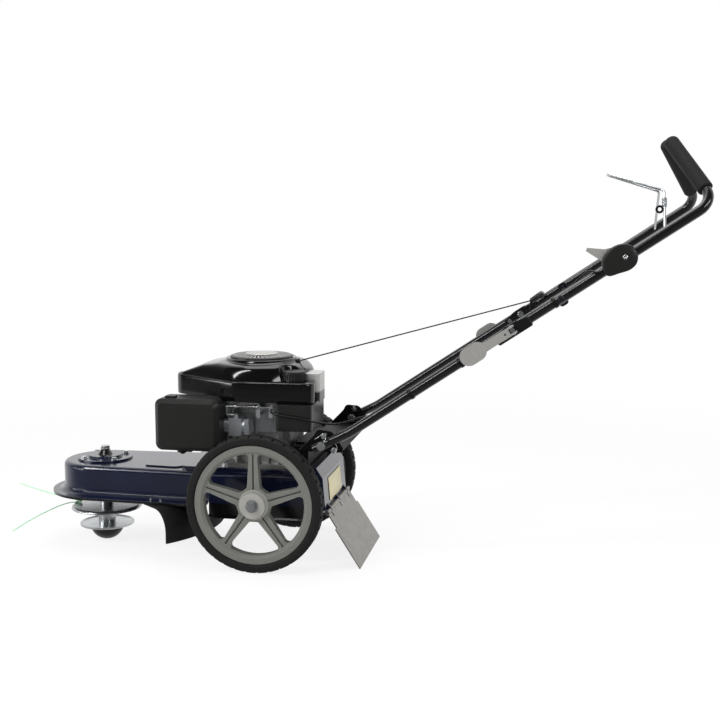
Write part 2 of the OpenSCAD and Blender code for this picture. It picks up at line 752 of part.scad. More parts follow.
module crankcase() {
    base = [[-134, -104], [80, -104], [80, 104], [-134, 104]];
    body = [[case_front, -case_half_w], [case_back, -case_half_w], [case_back, case_half_w],
        [case_front, case_half_w]];
    lid_step = 4;
    lid_t = 14;
    rib_t = 5;
    boss_h = 50;
    web_half_t = 3;
    color("silver") difference() {
        union() {
            translate([0, 0, platform_top]) linear_extrude(base_t) polygon(rounded(base, 30));
            translate([0, 0, platform_top]) linear_extrude(case_top - platform_top - lid_t)
                polygon(rounded(body, 34));
            translate([0, 0, case_top - lid_t - 1]) linear_extrude(lid_t + 1)
                polygon(rounded([for (p = body) p - lid_step * [sign(p[0]), sign(p[1])]], 30));
            for (p = cowl_posts) translate([p[0], p[1], case_top - boss_h]) cylinder(r = post_r + 3,
                h = boss_h);
            for (p = cowl_posts) translate([p[0] - web_half_t, min(0, p[1]), case_top - boss_h])
                cube([2 * web_half_t, abs(p[1]), boss_h - lid_t]);
            for (x = [-80:28:40]) for (side = [-1, 1])
                translate([x, side * (case_half_w + 3), platform_top + 45]) cube([rib_t, 9, 80],
                    center = true);
        }
        translate([crank_x, 0, platform_top - 1]) cylinder(r = crank_r + run_gap, h = case_top);
        for (b = engine_bolts) translate([b[0], b[1], platform_top - 1]) {
            cylinder(r = 4 + pin_gap, h = base_t + 2);
            translate([0, 0, base_t + 1]) cylinder(r = 10, h = 18);
        }
    }
}

module cylinder_block() {
    fin_half_w = 62;
    fin_z = 58;
    fin_t = 3.5;
    fin_step = 9;
    head_t = 20;
    head_z = 52;
    fin = [[-fin_half_w, -fin_z], [fin_half_w, -fin_z], [fin_half_w, fin_z], [-fin_half_w, fin_z]];
    head = [[-fin_half_w, -head_z], [fin_half_w, -head_z], [fin_half_w, head_z], [-fin_half_w, head_z]];
    color("gray") translate([0, 0, cylinder_z]) {
        rotate([0, -90, 0]) translate([0, 0, -case_front]) cylinder(r = 42,
            h = case_front - cylinder_front);
        for (x = [case_front - 8:-fin_step:cylinder_front + 2]) yz_plate(x - fin_t, x)
            polygon(rounded(fin, 12, 3));
        yz_plate(cylinder_front - head_t, cylinder_front) polygon(rounded(head, 16));
        yz_plate(cylinder_front - head_t - 16, cylinder_front - head_t)
            polygon(rounded([[-48, -40], [20, -40], [20, 40], [-48, 40]], 14));
    }
}

plug_y = 42;

module spark_plug() {
    start = cylinder_front - 20;
    color("white") translate([start, plug_y, cylinder_z]) rotate([0, -90, 0]) {
        cylinder(r = 10, h = 8, $fn = 6);
        cylinder(r = 6, h = 26);
        translate([0, 0, 14]) cylinder(r = 9.5, h = 22);
        translate([0, 0, 26]) rotate([90, 0, 0]) cylinder(r = 7, h = 24, center = true);
    }
}

module crankshaft() {
    low = belt_z - pulley_half_t;
    collar_t = 9;
    top = case_top + 72;
    color("silver") translate([crank_x, 0, low - collar_t]) {
        cylinder(r = crank_r, h = top - low + collar_t);
        cylinder(r = crank_r + 4, h = collar_t);
    }
}

flywheel_z = case_top + 14;

module flywheel() {
    r = 80;
    blades = 14;
    color("gray") translate([crank_x, 0, flywheel_z]) difference() {
        union() {
            cylinder(r = r, h = 14);
            cylinder(r = 26, h = 40);
            for (k = [0:blades - 1]) rotate(360 / blades * k) translate([34, -2, 13]) cube([r - 36, 4, 18]);
        }
        translate([0, 0, -1]) cylinder(r = crank_r + run_gap, h = 60);
    }
}

// The cowl's outline in plan: a narrow nose over the cylinder, a round rear and a corner over the tank
nose_cx = -224;
corner_c = [112, -124];
corner_r = 25;
cowl_wall = 3;

module cowl_plan(inset) {
    hull() {
        translate([nose_cx, 0]) circle(48 - inset, $fn = 32);
        translate([crank_x, 0]) circle(cowl_r - inset, $fn = 64);
        translate(corner_c) circle(corner_r - inset, $fn = 24);
    }
}

module cowl_dome(inset) {
    hull() {
        translate([0, 0, seam_z - 1]) linear_extrude(1) hull() {
            translate([nose_cx, 0]) circle(44 - inset, $fn = 32);
            translate([crank_x, 0]) circle(cowl_r - 4 - inset, $fn = 48);
        }
        translate([-182, 0, seam_z + 23 - inset]) cylinder(r1 = 60, r2 = 44, h = 8, $fn = 32);
        translate([nose_cx, 0, seam_z + 6 - inset]) cylinder(r1 = 38, r2 = 26, h = 5, $fn = 32);
        translate([crank_x, 0, dome_z - dome_edge - inset])
            cylinder(r1 = grille_r + 20, r2 = grille_r + 8, h = dome_edge, $fn = 48);
    }
}

dome_edge = 14;
cap_pos = [80, -104];
cap_z = seam_z + 1;
cowl_posts = [[-97, 80], [-97, -80], [50, 78]];
post_r = 7;

// The cowl is an open shell on three posts, cut away for the tank's tower and above the air filter
module cowl() {
    bush_h = 24;
    recess_r = fuel_cap_d / 2 + 2;
    color("black") difference() {
        union() {
            difference() {
                union() {
                    translate([0, 0, cowl_z]) linear_extrude(seam_z - cowl_z) cowl_plan(0);
                    cowl_dome(0);
                }
                difference() {
                    union() {
                        translate([0, 0, cowl_z - 1]) linear_extrude(seam_z - cowl_z + 1 - cowl_wall)
                            cowl_plan(cowl_wall);
                        cowl_dome(cowl_wall + 1);
                    }
                    for (p = cowl_posts) translate([p[0], p[1], cowl_z - 2]) cylinder(r = post_r, h = 200);
                    translate([cap_pos[0], cap_pos[1], seam_z - cowl_wall])
                        cylinder(r = recess_r + cowl_wall, h = 90);
                }
                translate([cap_pos[0], cap_pos[1], seam_z]) cylinder(r = recess_r, h = 90);
            }
            for (p = cowl_posts) translate([p[0], p[1], case_top]) cylinder(r = post_r,
                h = seam_z - 4 - case_top);
            translate(rope_exit) rotate([0, 90 - rope_climb, rope_turn]) translate([0, 0, -bush_h])
                cylinder(r1 = 9, r2 = 6, h = bush_h - seat_gap);
        }
        translate([tank_back - tank_tower, tank_tower_y - 1, cowl_z - 1]) cube([100, -tank_tower_y, 200]);
        translate([filter_front - 2, filter_near - 2, cowl_z - 1])
            cube([filter_back - filter_front + 4, filter_far - filter_near + 4, filter_top - cowl_z + 3]);
        translate([crank_x, 0, dome_z - 30]) cylinder(r = grille_r - 6, h = 60);
        translate([cap_pos[0], cap_pos[1], seam_z - 20]) cylinder(r = neck_r + 1.5, h = 40);
    }
}

module starter_grille() {
    slot_in = 46;
    slot_out = grille_r - 6;
    slot_w = 3.2;
    slot_lean = 14;
    color("dimgray") translate([crank_x, 0, dome_z]) difference() {
        union() {
            rotate_extrude() polygon([[0, 4], [slot_in, 4], [slot_in, 2.5], [slot_out, 1], [grille_r, 0],
                [grille_r, 4], [slot_out, 6.5], [slot_in, 8], [slot_in - 3, 9], [0, 9]]);
            translate([0, 0, -8]) difference() {
                cylinder(r = grille_r - 6 - seat_gap, h = 10);
                translate([0, 0, -1]) cylinder(r = grille_r - 9, h = 12);
            }
        }
        for (k = [0:grille_slots - 1]) rotate(360 / grille_slots * k) translate([slot_in + 3, 0, 0])
            rotate(slot_lean)
            translate([0, -slot_w / 2, -1]) cube([slot_out - slot_in - 8, slot_w, 12]);
    }
}

// Fuel tank: a low block at the engine's left rear with a taller tower behind the cowl
tank_front = 42;
tank_back = 138;
tank_tower = 38;
tank_tower_y = -82;
tank_tower_top = 496;
tank_near = -165;
tank_top = cowl_z - 1;
neck_r = 22;

module fuel_tank() {
    inner_x = case_back + seat_gap;
    inner_y = -case_half_w - 8 - seat_gap;
    plan = [[tank_front, tank_near], [tank_back, tank_near], [tank_back, -8], [inner_x, -8], [inner_x,
        inner_y],
        [tank_front, inner_y]];
    tower = [[tank_back - tank_tower + 1, tank_tower_y], [tank_back + 2, tank_tower_y], [tank_back + 2, -4],
        [tank_back - tank_tower + 1, -4]];
    color("black") {
        translate([0, 0, tank_z]) linear_extrude(tank_top - tank_z) polygon(rounded(plan, [10, 14, 10, 3,
            6, 6]));
        translate([0, 0, tank_top - 4]) linear_extrude(tank_tower_top - tank_top + 4)
            polygon(rounded(tower, 12));
        translate([cap_pos[0], cap_pos[1], tank_top - 2])
            cylinder(r = neck_r, h = cap_z + cap_skirt - seat_gap - tank_top + 2);
        translate([case_back, -30, tank_z + 20]) cube([4, 18, 30]);
    }
}

cap_skirt = 4;

module fuel_cap() {
    ribs = 24;
    rib_r = 2;
    r = fuel_cap_d / 2;
    color("black") translate([cap_pos[0], cap_pos[1], cap_z]) difference() {
        union() {
            cylinder(r = r - rib_r, h = 25);
            translate([0, 0, 18]) cylinder(r = r, h = 4);
            for (k = [0:ribs - 1]) rotate(360 / ribs * k) translate([r - rib_r - 0.4, 0, 2])
                cylinder(r = rib_r, h = 18);
        }
        translate([0, 0, -1]) cylinder(r = neck_r + seat_gap, h = cap_skirt + 1);
    }
}

// Air filter: a case bolted to the carburettor's inlet and a deep cover that is split from it along the top
filter_front = -276;
filter_back = -104;
filter_near = -186;
filter_far = -104;
filter_z = 300;
filter_top = 436;
filter_split = 416;

filter_bevel = 11;
filter_wall = 3;

function filter_outline(inset) = [[filter_front + inset, filter_z + inset], [filter_back - inset,
    filter_z + inset],
    [filter_back - inset, filter_top - inset], [filter_front + inset, filter_top - inset]];

// The whole filter box with its bevelled near face, smaller all round by the inset
module filter_body(inset) {
    near = filter_near + inset;
    xz_plate(near + filter_bevel, filter_far - inset) polygon(rounded(filter_outline(inset), 18));
    hull() {
        xz_plate(near + filter_bevel - 1, near + filter_bevel + 1) polygon(rounded(filter_outline(inset),
            18));
        xz_plate(near, near + 1) polygon(rounded(filter_outline(inset + filter_bevel), 12));
    }
}

// The slice of the filter box between two heights
module filter_slice(inset, low, high) {
    intersection() {
        filter_body(inset);
        translate([filter_front - 1, filter_near - 1, low])
            cube([filter_back - filter_front + 2, filter_far - filter_near + 2, high - low]);
    }
}

module air_filter_case() {
    color("black") difference() {
        union() {
            filter_slice(0, filter_z - 1, filter_split);
            translate([-214, -150, filter_z - 9]) cube([26, 30, 10]);
        }
        filter_slice(filter_wall, filter_z, filter_top);
    }
}

module air_filter_cover() {
    color("black") difference() {
        union() {
            filter_slice(0, filter_split + seat_gap, filter_top + 1);
            translate([-250, filter_near + 16, filter_top - 1]) cube([26, 20, 7]);
        }
        filter_slice(filter_wall, filter_z, filter_top);
    }
}

carb_out = 32;
carb_y = -case_half_w - carb_out;
carb_z = 360;

module carburettor() {
    inlet_x = filter_back + seat_gap;
    color("gainsboro") {
        translate([inlet_x, carb_y, carb_z]) rotate([0, 90, 0]) difference() {
            cylinder(r = 18, h = 66);
            translate([0, 0, -1]) cylinder(r = 11, h = 50);
        }
        translate([inlet_x + 14, carb_y - 20, carb_z - 24]) cube([34, 40, 46]);
        translate([inlet_x + 31, carb_y, carb_z - 42]) cylinder(r = 17, h = 22);
        translate([inlet_x + 31, carb_y - 8, carb_z + 20]) cylinder(r = 7, h = 12);
        translate([inlet_x + 56, carb_y - 18, carb_z - 20]) cube([12, 36, 40]);
        translate([inlet_x + 56, carb_y + 10, carb_z - 16]) cube([14, -case_half_w - carb_y - 10, 32]);
    }
}

link_y = carb_y - 12;
link_z = 413;

module governor_linkage() {
    plate_y = -case_half_w;
    color("gainsboro") {
        xz_plate(plate_y - 2.5, plate_y) polygon(rounded([[-30, 340], [28, 340], [28, 404], [-30, 404]],
            6));
        translate([-10, 0, 392]) along_y(4, link_y + 2, plate_y);
        translate([22, 0, 392]) along_y(4, link_y + 2, plate_y);
        xz_plate(link_y - 1.5, link_y + 2.5) polygon(rounded([[-16, 385], [-5, 385], [-7, 420], [-14,
            420]], 3));
        xz_plate(link_y - 1.5, link_y + 2.5) polygon(rounded([[16, 385], [28, 385], [29, 419], [21,
            419]], 3));
        translate([-98, link_y, link_z]) rotate([0, 90, 0]) cylinder(r = 1.8, h = 126);
        translate([-72, link_y - 1, link_z]) sphere(5);
        translate([-96, link_y, carb_z + 30]) cylinder(r = 1.8, h = link_z - carb_z - 30);
        translate([-96, link_y, carb_z + 30.5]) rotate([0, 90, 0]) cylinder(r = 1.8, h = 24);
    }
}

module muffler() {
    half_l = 66;
    color("gray") {
        translate([-130, 0, 336]) xz_plate(case_half_w + 14, case_half_w + 72)
            polygon(rounded([[-half_l, -40], [half_l, -40], [half_l, 40], [-half_l, 40]], 30));
        translate([-130, 0, 336]) xz_plate(case_half_w + 72, case_half_w + 76)
            polygon(rounded([[8 - half_l, -32], [half_l - 8, -32], [half_l - 8, 32], [8 - half_l, 32]],
                24));
        translate([-150, 0, cylinder_z]) along_y(15, 62, case_half_w + 15);
        translate([-150, 0, cylinder_z]) along_y(24, 62.1, 68);
        translate([-190, case_half_w + 44, 336]) rotate([0, -90, 0]) difference() {
            cylinder(r = 11, h = 24);
            translate([0, 0, 4]) cylinder(r = 8.5, h = 30);
        }
    }
}

// Oil filler: a slanted neck on the crankcase's right side, closed by a winged cap
module oil_cap() {
    neck = [18, case_half_w, 300];
    neck_len = 40;
    lean = 60;
    color("black") difference() {
        translate(neck) rotate([-lean, 0, 0]) {
            translate([0, 0, -10]) cylinder(r = 10, h = neck_len + 10);
            translate([0, 0, neck_len]) cylinder(r = 15, h = 12);
            translate([-14, -2.5, neck_len + 11]) cube([28, 5, 12]);
        }
        translate([0, case_half_w - 100, 200]) cube([100, 100, 200]);
    }
}

// Rear of the deck
pedestal_x = 78;
pedestal_len = 40;
pedestal_half_w = 117;
shelf_len = 60;
shelf_half_w = 132;
bracket_t = 4;

// Pedestal of folded sheet behind the engine, open at the front, with a shelf for the handle bracket
module rear_frame() {
    top = bracket_z - bracket_t;
    color("midnightblue") difference() {
        union() {
            translate([pedestal_x, -pedestal_half_w, platform_top])
                cube([pedestal_len, 2 * pedestal_half_w, top - platform_top]);
            translate([pedestal_x, -shelf_half_w, top - sheet]) cube([shelf_len, 2 * shelf_half_w, sheet]);
        }
        translate([pedestal_x - 1, sheet - pedestal_half_w, platform_top - 1])
            cube([pedestal_len - sheet + 1, 2 * (pedestal_half_w - sheet), top - platform_top - sheet + 1]);
    }
}

cover_back = hinge_x - 5;
cover_drop = hinge_z + 5;
cover_knee = deck_top - 1;
cover_top = 258;
lug_t = 4;
lug_y = [-104, 0, 104];
rod_r = 4;

// Rear cover: one sheet bent over the deck's rear edge, with cheeks and three lugs for the hinge rod
module rear_cover() {
    lip_x = box_back - 18;
    lid = [[lip_x, cover_top], [box_back + 3, cover_top], [box_back + 20, cover_knee], [cover_back,
        cover_drop]];
    inner = [[cover_back - sheet, cover_drop], [box_back + 20 - sheet, cover_knee - 1],
        [box_back + 2, cover_top - sheet], [lip_x, cover_top - sheet]];
    low = deck_top + seat_gap;
    wall_x = box_back + seat_gap;
    cheek = [[wall_x, cover_drop], each [for (k = [3:-1:0]) lid[k]], [lip_x, low], [wall_x, low]];
    lug = [[cover_back - sheet, cover_drop + 14], [cover_back - 1.5, cover_drop + 14], [hinge_x + 7,
        hinge_z + 3],
        [hinge_x + 5, hinge_z - 7], [hinge_x - 5, hinge_z - 7], [cover_back - sheet, hinge_z + 1]];
    color("midnightblue") {
        xz_plate(-cover_half_w, cover_half_w) polygon(concat(lid, inner));
        both_sides() xz_plate(cover_half_w - sheet, cover_half_w) polygon(cheek);
        both_sides() translate([box_back - 8, cover_half_w - 22, deck_top]) cube([6, 20,
            cover_top - deck_top - 1]);
        for (y = lug_y) difference() {
            xz_plate(y - lug_t / 2, y + lug_t / 2) polygon(rounded(lug, [0, 0, 4, 4, 4, 0]));
            translate([hinge_x, 0, hinge_z]) along_y(rod_r + run_gap, y - lug_t, y + lug_t);
        }
    }
}

neck_half_w = trail_half_w - 14;

module flap_rod() {
    head_t = 3;
    end = neck_half_w + seat_gap;
    color("gray") translate([hinge_x, 0, hinge_z]) {
        along_y(rod_r, -end, end);
        both_sides() along_y(rod_r + 2, end, end + head_t);
    }
}

// Trailing flap: a steel sheet with a rolled knuckle round the rod, wider below its neck
module rear_flap() {
    knuckle_r = rod_r + 2.5;
    plate_t = 3;
    neck = 46;
    slot_half = lug_t / 2 + 1.5;
    color("lightgray") translate([hinge_x, 0, hinge_z]) difference() {
        union() {
            rotate([0, -trail_angle, 0]) translate([-plate_t / 2, 0, 0]) {
                translate([0, -neck_half_w, -neck - 1]) cube([plate_t, 2 * neck_half_w, neck + 1]);
                translate([0, -trail_half_w, -trail_len]) cube([plate_t, 2 * trail_half_w,
                    trail_len - neck]);
            }
            along_y(knuckle_r, -neck_half_w, neck_half_w);
        }
        along_y(rod_r + run_gap, -trail_half_w, trail_half_w);
        for (y = lug_y) translate([-20, y - slot_half, -16]) cube([40, 2 * slot_half, 40]);
    }
}

// Handle bracket: a wide base plate with a cheek bent up at each side, inside the tubes
cheek_y = tube_y - tube_r - seat_gap;
cheek_t = 3;
pivot = [174, bend_z - (bend_x - 174) * tan(foot_angle)];
hitch = [[181, pivot[1] + 26], [208, pivot[1] - 8]];

module handle_bracket() {
    cheek = [[110, bracket_z - bracket_t], [150, pivot[1] + 22], [158, pivot[1] + 38], [196, pivot[1] + 34],
        [226, bracket_z + 6], [222, bracket_z - bracket_t]];
    color("black") difference() {
        union() {
            translate([108, -cheek_y, bracket_z - bracket_t]) cube([112, 2 * cheek_y, bracket_t]);
            translate([80, -100, bracket_z - bracket_t]) cube([30, 200, bracket_t]);
            both_sides() xz_plate(cheek_y - cheek_t, cheek_y) polygon(rounded(cheek, [2, 20, 12, 16, 8,
                2]));
        }
        translate([pivot[0], 0, pivot[1]]) along_y(5 + run_gap, -tube_y, tube_y);
        for (h = hitch) translate([h[0], 0, h[1]]) along_y(4 + pin_gap, -tube_y, tube_y);
    }
}

module bracket_bolts() {
    outer = tube_y + tube_r + seat_gap;
    color("gainsboro") both_sides() {
        translate([pivot[0], 0, pivot[1]]) {
            along_y(5, cheek_y - cheek_t - 8, outer + 2);
            translate([0, outer, 0]) rotate([-90, 0, 0]) bolt_head(5);
            translate([0, cheek_y - cheek_t - seat_gap, 0]) rotate([90, 0, 0]) bolt_head(5);
        }
        for (h = hitch) translate([h[0], 0, h[1]]) {
            along_y(4, cheek_y - cheek_t - 12, outer + 6);
            along_y(7, cheek_y - cheek_t - 4, cheek_y - cheek_t - seat_gap);
            translate([0, outer + 2, 0]) rotate([-90, 0, 0]) rotate_extrude() translate([5, 0]) circle(1.6);
        }
    }
}

// Handle
module handle_tube(p, bend) {
    difference() {
        bent_bar(p, tube_r, bend);
        bent_bar(p, tube_r - tube_wall, bend);
    }
}

knuckle_gap = tube_r + 10;

module lower_tubes() {
    foot = [pivot[0] - 24 * cos(foot_angle), pivot[1] - 24 * sin(foot_angle)];
    top = [fold_x - knuckle_gap * cos(handle_angle), fold_z - knuckle_gap * sin(handle_angle)];
    color("black") both_sides() translate([0, tube_y, 0]) difference() {
        handle_tube([foot, [bend_x, bend_z], top], 160);
        translate([pivot[0], 0, pivot[1]]) along_y(5 + run_gap, -tube_d, tube_d);
        translate([fold_x, 0, fold_z]) rotate([0, -handle_angle, 0]) translate([-channel_rivet, 0, 0])
            along_y(3 + run_gap, -tube_d, tube_d);
    }
}

channel_rivet = 35;
channel_gap = tube_r + 0.6;
channel_t = 3;
channel_half = 48;
channel_low = -17;

// Fold hinge: a channel under each tube's joint, and on the right one a tab with the starter rope's eye
module hinge_channels() {
    side = [[-channel_half, channel_low], [channel_half, channel_low], [channel_half, 8], [14, 14], [-14,
        14],
        [-channel_half, 8]];
    tab = [[24, -8], [44, -8], [54, 10], [54, 22], [43, 22], [36, 8]];
    tab_y = tube_y - channel_gap - channel_t;
    color("black") {
        both_sides() at_fold(tube_y) difference() {
            union() {
                for (y = [-channel_gap - channel_t, channel_gap])
                    xz_plate(y, y + channel_t) polygon(rounded(side, 6));
                translate([2 - channel_half, -channel_gap - 1, channel_low])
                    cube([2 * channel_half - 4, 2 * channel_gap + 2, -channel_low - tube_r - seat_gap]);
            }
            along_y(4 + run_gap, -40, 40);
            translate([-channel_rivet, 0, 0]) along_y(3 + run_gap, -40, 40);
        }
        at_fold(0) {
            xz_plate(tab_y - channel_t, tab_y + 0.5) polygon(rounded(tab, 4));
            translate([eye_s, 0, eye_n]) along_y(2.5, eye_y + eye_r, tab_y - 1);
            translate([eye_s, eye_y, eye_n]) rotate([0, 90, 0]) rotate_extrude() translate([eye_r, 0])
                circle(eye_wire_r);
        }
    }
}

cam_y = channel_gap + channel_t + 9.5;

module fold_bolts() {
    inner = channel_gap + channel_t;
    color("gainsboro") both_sides() at_fold(tube_y) difference() {
        union() {
            along_y(4, -inner - 6, cam_y + 5);
            along_y(5.6, cam_y - 5, cam_y + 5);
            translate([0, -inner - seat_gap, 0]) rotate([90, 0, 0]) bolt_head(4);
            translate([-channel_rivet, 0, 0]) {
                along_y(3, -inner - 3, inner + 3);
                along_y(5.5, inner + seat_gap, inner + 3);
                along_y(5.5, -inner - 3, -inner - seat_gap);
            }
        }
        translate([0, cam_y, -20]) cylinder(r = 2.5 + run_gap, h = 40);
    }
}

// Cam lever of the right side, in the handle's own directions: a fork round the bolt, an arm and a paddle
module cam_lever() {
    fork_r = 8.5;
    fork_t = 5;
    arm_t = 3;
    arm_y = cam_y + 2;
    paddle_r = 23;
    paddle = [-98, 2];
    paddle_run = 23;
    arm = [[paddle[0], -8], [-26, -11], [-8, -11], [-8, 11], [-26, 11], [paddle[0], 12]];
    for (z = [-6 - fork_t, 6]) {
        translate([0, cam_y, z]) cylinder(r = fork_r, h = fork_t);
        translate([-12, cam_y + 0.5, z]) cube([12, 4, fork_t]);
    }
    translate([0, cam_y, -13]) cylinder(r = 2.5, h = 26);
    difference() {
        xz_plate(arm_y, arm_y + arm_t) {
            polygon(arm);
            translate(paddle) circle(paddle_r);
            translate(paddle - [paddle_run, 0]) circle(paddle_r);
            translate(paddle - [paddle_run, paddle_r]) square([paddle_run, 2 * paddle_r]);
        }
        translate([-20, 0, 0]) along_y(2.5, arm_y - 1, arm_y + arm_t + 1);
    }
}

module cam_lever_left() { color("lightgray") mirror([0, 1, 0]) at_fold(tube_y) cam_lever(); }
module cam_lever_right() { color("lightgray") at_fold(tube_y) cam_lever(); }

grip_cut = grip_bend * tan(grip_turn / 2);

function on_grip(d) = [upper_len, 0] + (grip_cut + d) * [cos(grip_turn), sin(grip_turn)];

grip_end = 14;
brace_s = 135;
brace_drop = 10;
brace_r = 8;
pod_s = 297;
bail_s = 419;

module upper_tubes() {
    color("black") both_sides() at_fold(tube_y) difference() {
        union() {
            rotate([grip_lean, 0, 0])
                handle_tube([[0, 0], [upper_len, 0], on_grip(grip_len - grip_end)], grip_bend);
            along_y(tube_r - 0.6, 1 - tube_r, tube_r - 1);
        }
        along_y(4 + run_gap, -20, 20);
        translate([bail_s, 0, 0]) along_y(bail_d / 2 + run_gap, -20, 0);
        translate([brace_s, 0, 0]) along_y(3.5 + run_gap, -20, 20);
    }
}

module grips() {
    fit_r = tube_r + run_gap;
    r = grip_d / 2;
    round_r = 12;
    cap_z = grip_len - grip_end + seat_gap;
    color("black") both_sides() at_fold(tube_y) rotate([grip_lean, 0, 0])
        translate([on_grip(0)[0], 0, on_grip(0)[1]]) rotate([0, 90 - grip_turn, 0])
            rotate_extrude() polygon(concat([[fit_r, 2], [r - 3, 2], [r, 5]],
                arc_points(round_r, r - round_r, grip_len - round_r, 0, 90, 6),
                [[0, grip_len], [0, cap_z], [fit_r, cap_z]]));
}

module cross_brace() {
    inner = tube_y - tube_r - seat_gap;
    color("black") at_fold(0) difference() {
        union() {
            translate([brace_s, 0, -brace_drop]) along_y(brace_r, -inner + 3, inner - 3);
            both_sides() translate([brace_s, 0, 0]) {
                xz_plate(inner - 3, inner) polygon(rounded([[-12, -20], [12, -20], [12, 12], [-12, 12]],
                    8));
                along_y(3.5, inner - 4, tube_y + tube_r + 4);
                translate([0, tube_y + tube_r + seat_gap, 0]) rotate([-90, 0, 0]) bolt_head(3.5);
            }
        }
        translate([brace_s, 0, -brace_drop]) along_y(brace_r - 1.5, -inner - 10, inner + 10);
    }
}

// Throttle: a moulded pod on the left tube, its lever turning between the two halves on one screw
pod_y = -tube_y - tube_r - seat_gap;
lever_t = 3;
lever_y = pod_y - 12;

lever_s = pod_s + 13;
lever_pin_r = 5;

module pod_outline() {
    polygon(rounded([[-50, -16], [-30, -36], [28, -34], [50, -6], [34, 34], [-12, 38], [-44, 18]],
        [12, 24, 24, 20, 24, 24, 14]));
}

module throttle_pod() {
    slot = lever_t / 2 + 0.5;
    face = lever_y - 13;
    color("black") at_fold(0) difference() {
        union() {
            translate([pod_s, 0, 0]) {
                xz_plate(lever_y + slot, pod_y) pod_outline();
                xz_plate(face, lever_y - slot) pod_outline();
            }
            translate([lever_s, 0, 0]) {
                along_y(lever_pin_r, face, pod_y);
                along_y(9, face - 2, face + 1);
            }
        }
        translate([lever_s, face - 2, 0]) cube([12, 2, 2], center = true);
    }
}

module throttle_lever() {
    hub_r = 11;
    hub_half = lever_t / 2 + 0.3;
    blade = [[-4, -10], [-30, 6], [-50, 28], [-60, 50], [-66, 64], [-60, 69], [-46, 58], [-28, 44], [-6,
        36],
        [10, 6]];
    color("lightgray") at_fold(0) translate([lever_s, 0, 0]) difference() {
        union() {
            along_y(hub_r, lever_y - hub_half, lever_y + hub_half);
            xz_plate(lever_y - lever_t / 2, lever_y + lever_t / 2) polygon(blade);
        }
        along_y(lever_pin_r + run_gap, lever_y - 5, lever_y + 5);
    }
}

// Bail: one bent wire, its ends in the tubes' inner walls
bail_y = tube_y - tube_r - 10;
bail_foot = [fold_x + bail_s * cos(handle_angle), fold_z + bail_s * sin(handle_angle)];
bail_knee_y = 90;
bail_tip_y = 40;
bail_bend = 8;
bail_slope = 17;

module bail() {
    knee = bail_foot + [2, bail_rise];
    tip = knee + bail_arm * [-cos(bail_slope), sin(bail_slope)];
    tube_in = tube_y - tube_r + tube_wall;
    half = [[bail_foot, tube_in], [bail_foot, bail_y], [knee, bail_knee_y], [tip, bail_tip_y]];
    corners = concat([for (h = half) [h[0][0], h[1], h[0][1]]],
        [for (k = [3:-1:0]) [half[k][0][0], -half[k][1], half[k][0][1]]]);
    color("silver") wire(rounded_path(corners, bail_bend), bail_d / 2, 10);
}

// Starter: the rope runs from the cowl through an eye on the right channel to the parked grip
eye_s = 48;
eye_n = 16;
eye_y = 168;
eye_r = 6;
eye_wire_r = 2.2;
rope_r = 1.75;
rope_exit = [71, 0, 520];
starter_s = eye_s + eye_wire_r + seat_gap;

// Point in the handle's own directions: along the tube, across the machine, above the tube
function on_handle(s, y, n) = [fold_x + s * cos(handle_angle) - n * sin(handle_angle), y,
    fold_z + s * sin(handle_angle) + n * cos(handle_angle)];

rope_run = on_handle(eye_s, eye_y, eye_n) - rope_exit;
rope_turn = atan2(rope_run[1], rope_run[0]);
rope_climb = asin(rope_run[2] / norm(rope_run));

module starter_rope() {
    knot = on_handle(starter_s - seat_gap, eye_y, eye_n);
    color("gray") wire([rope_exit, rope_exit + rope_run * 0.5, on_handle(eye_s, eye_y, eye_n), knot],
        rope_r);
}

module starter_grip() {
    bar_r = 9;
    bar_s = 26;
    color("black") at_fold(0) translate([starter_s, eye_y, eye_n]) {
        rotate([0, 90, 0]) cylinder(r1 = 7.5, r2 = 9, h = bar_s - 4);
        translate([bar_s, 0, 0]) {
            along_y(bar_r, -34, 14);
            translate([0, -34, 0]) sphere(bar_r);
        }
    }
}

// Throttle cable: from the governor lever past the tank, then along the inner side of the left tube.
// It is parted at the fold bolt's axis, where it bends when the handle folds.
cable_r = 2.6;
cable_gap = 6;
cable_route = [[25, -134, 408], [27, -148, 407], [32, -160, 405], [41, -169, 403], [58, -172, 400], [82,
    -172, 397],
    [110, -172, 393], [140, -172, 388], [170, -172, 384], [200, -174, 384], [230, -180, 391], [262, -186,
        403]];
// Beside the tubes: the distance from the fold bolt along the tube, across the machine, above the tube
cable_rise = [[-380, -187, 0], [-250, -187, 0], [-120, -187, 0], [-60, -181, 0], [-30, -177, 0],
    [-cable_gap, -176.5, 0]];
cable_climb = [[cable_gap, -176.5, 0], [35, -177.5, 1], [95, -182, 9], [135, -182, 10], [175, -183, 12],
    [205, -190, 17], [225, -205, 19], [238, -219, 8], [248.7, -221, 3]];

module throttle_cable_lower() {
    rise = [for (p = cable_rise) on_handle(p[0], p[1], p[2])];
    color("black") wire(curve(concat(cable_route, rise), 3), cable_r);
}

module throttle_cable_upper() {
    color("black") wire(curve([for (p = cable_climb) on_handle(p[0], p[1], p[2])], 3), cable_r);
}

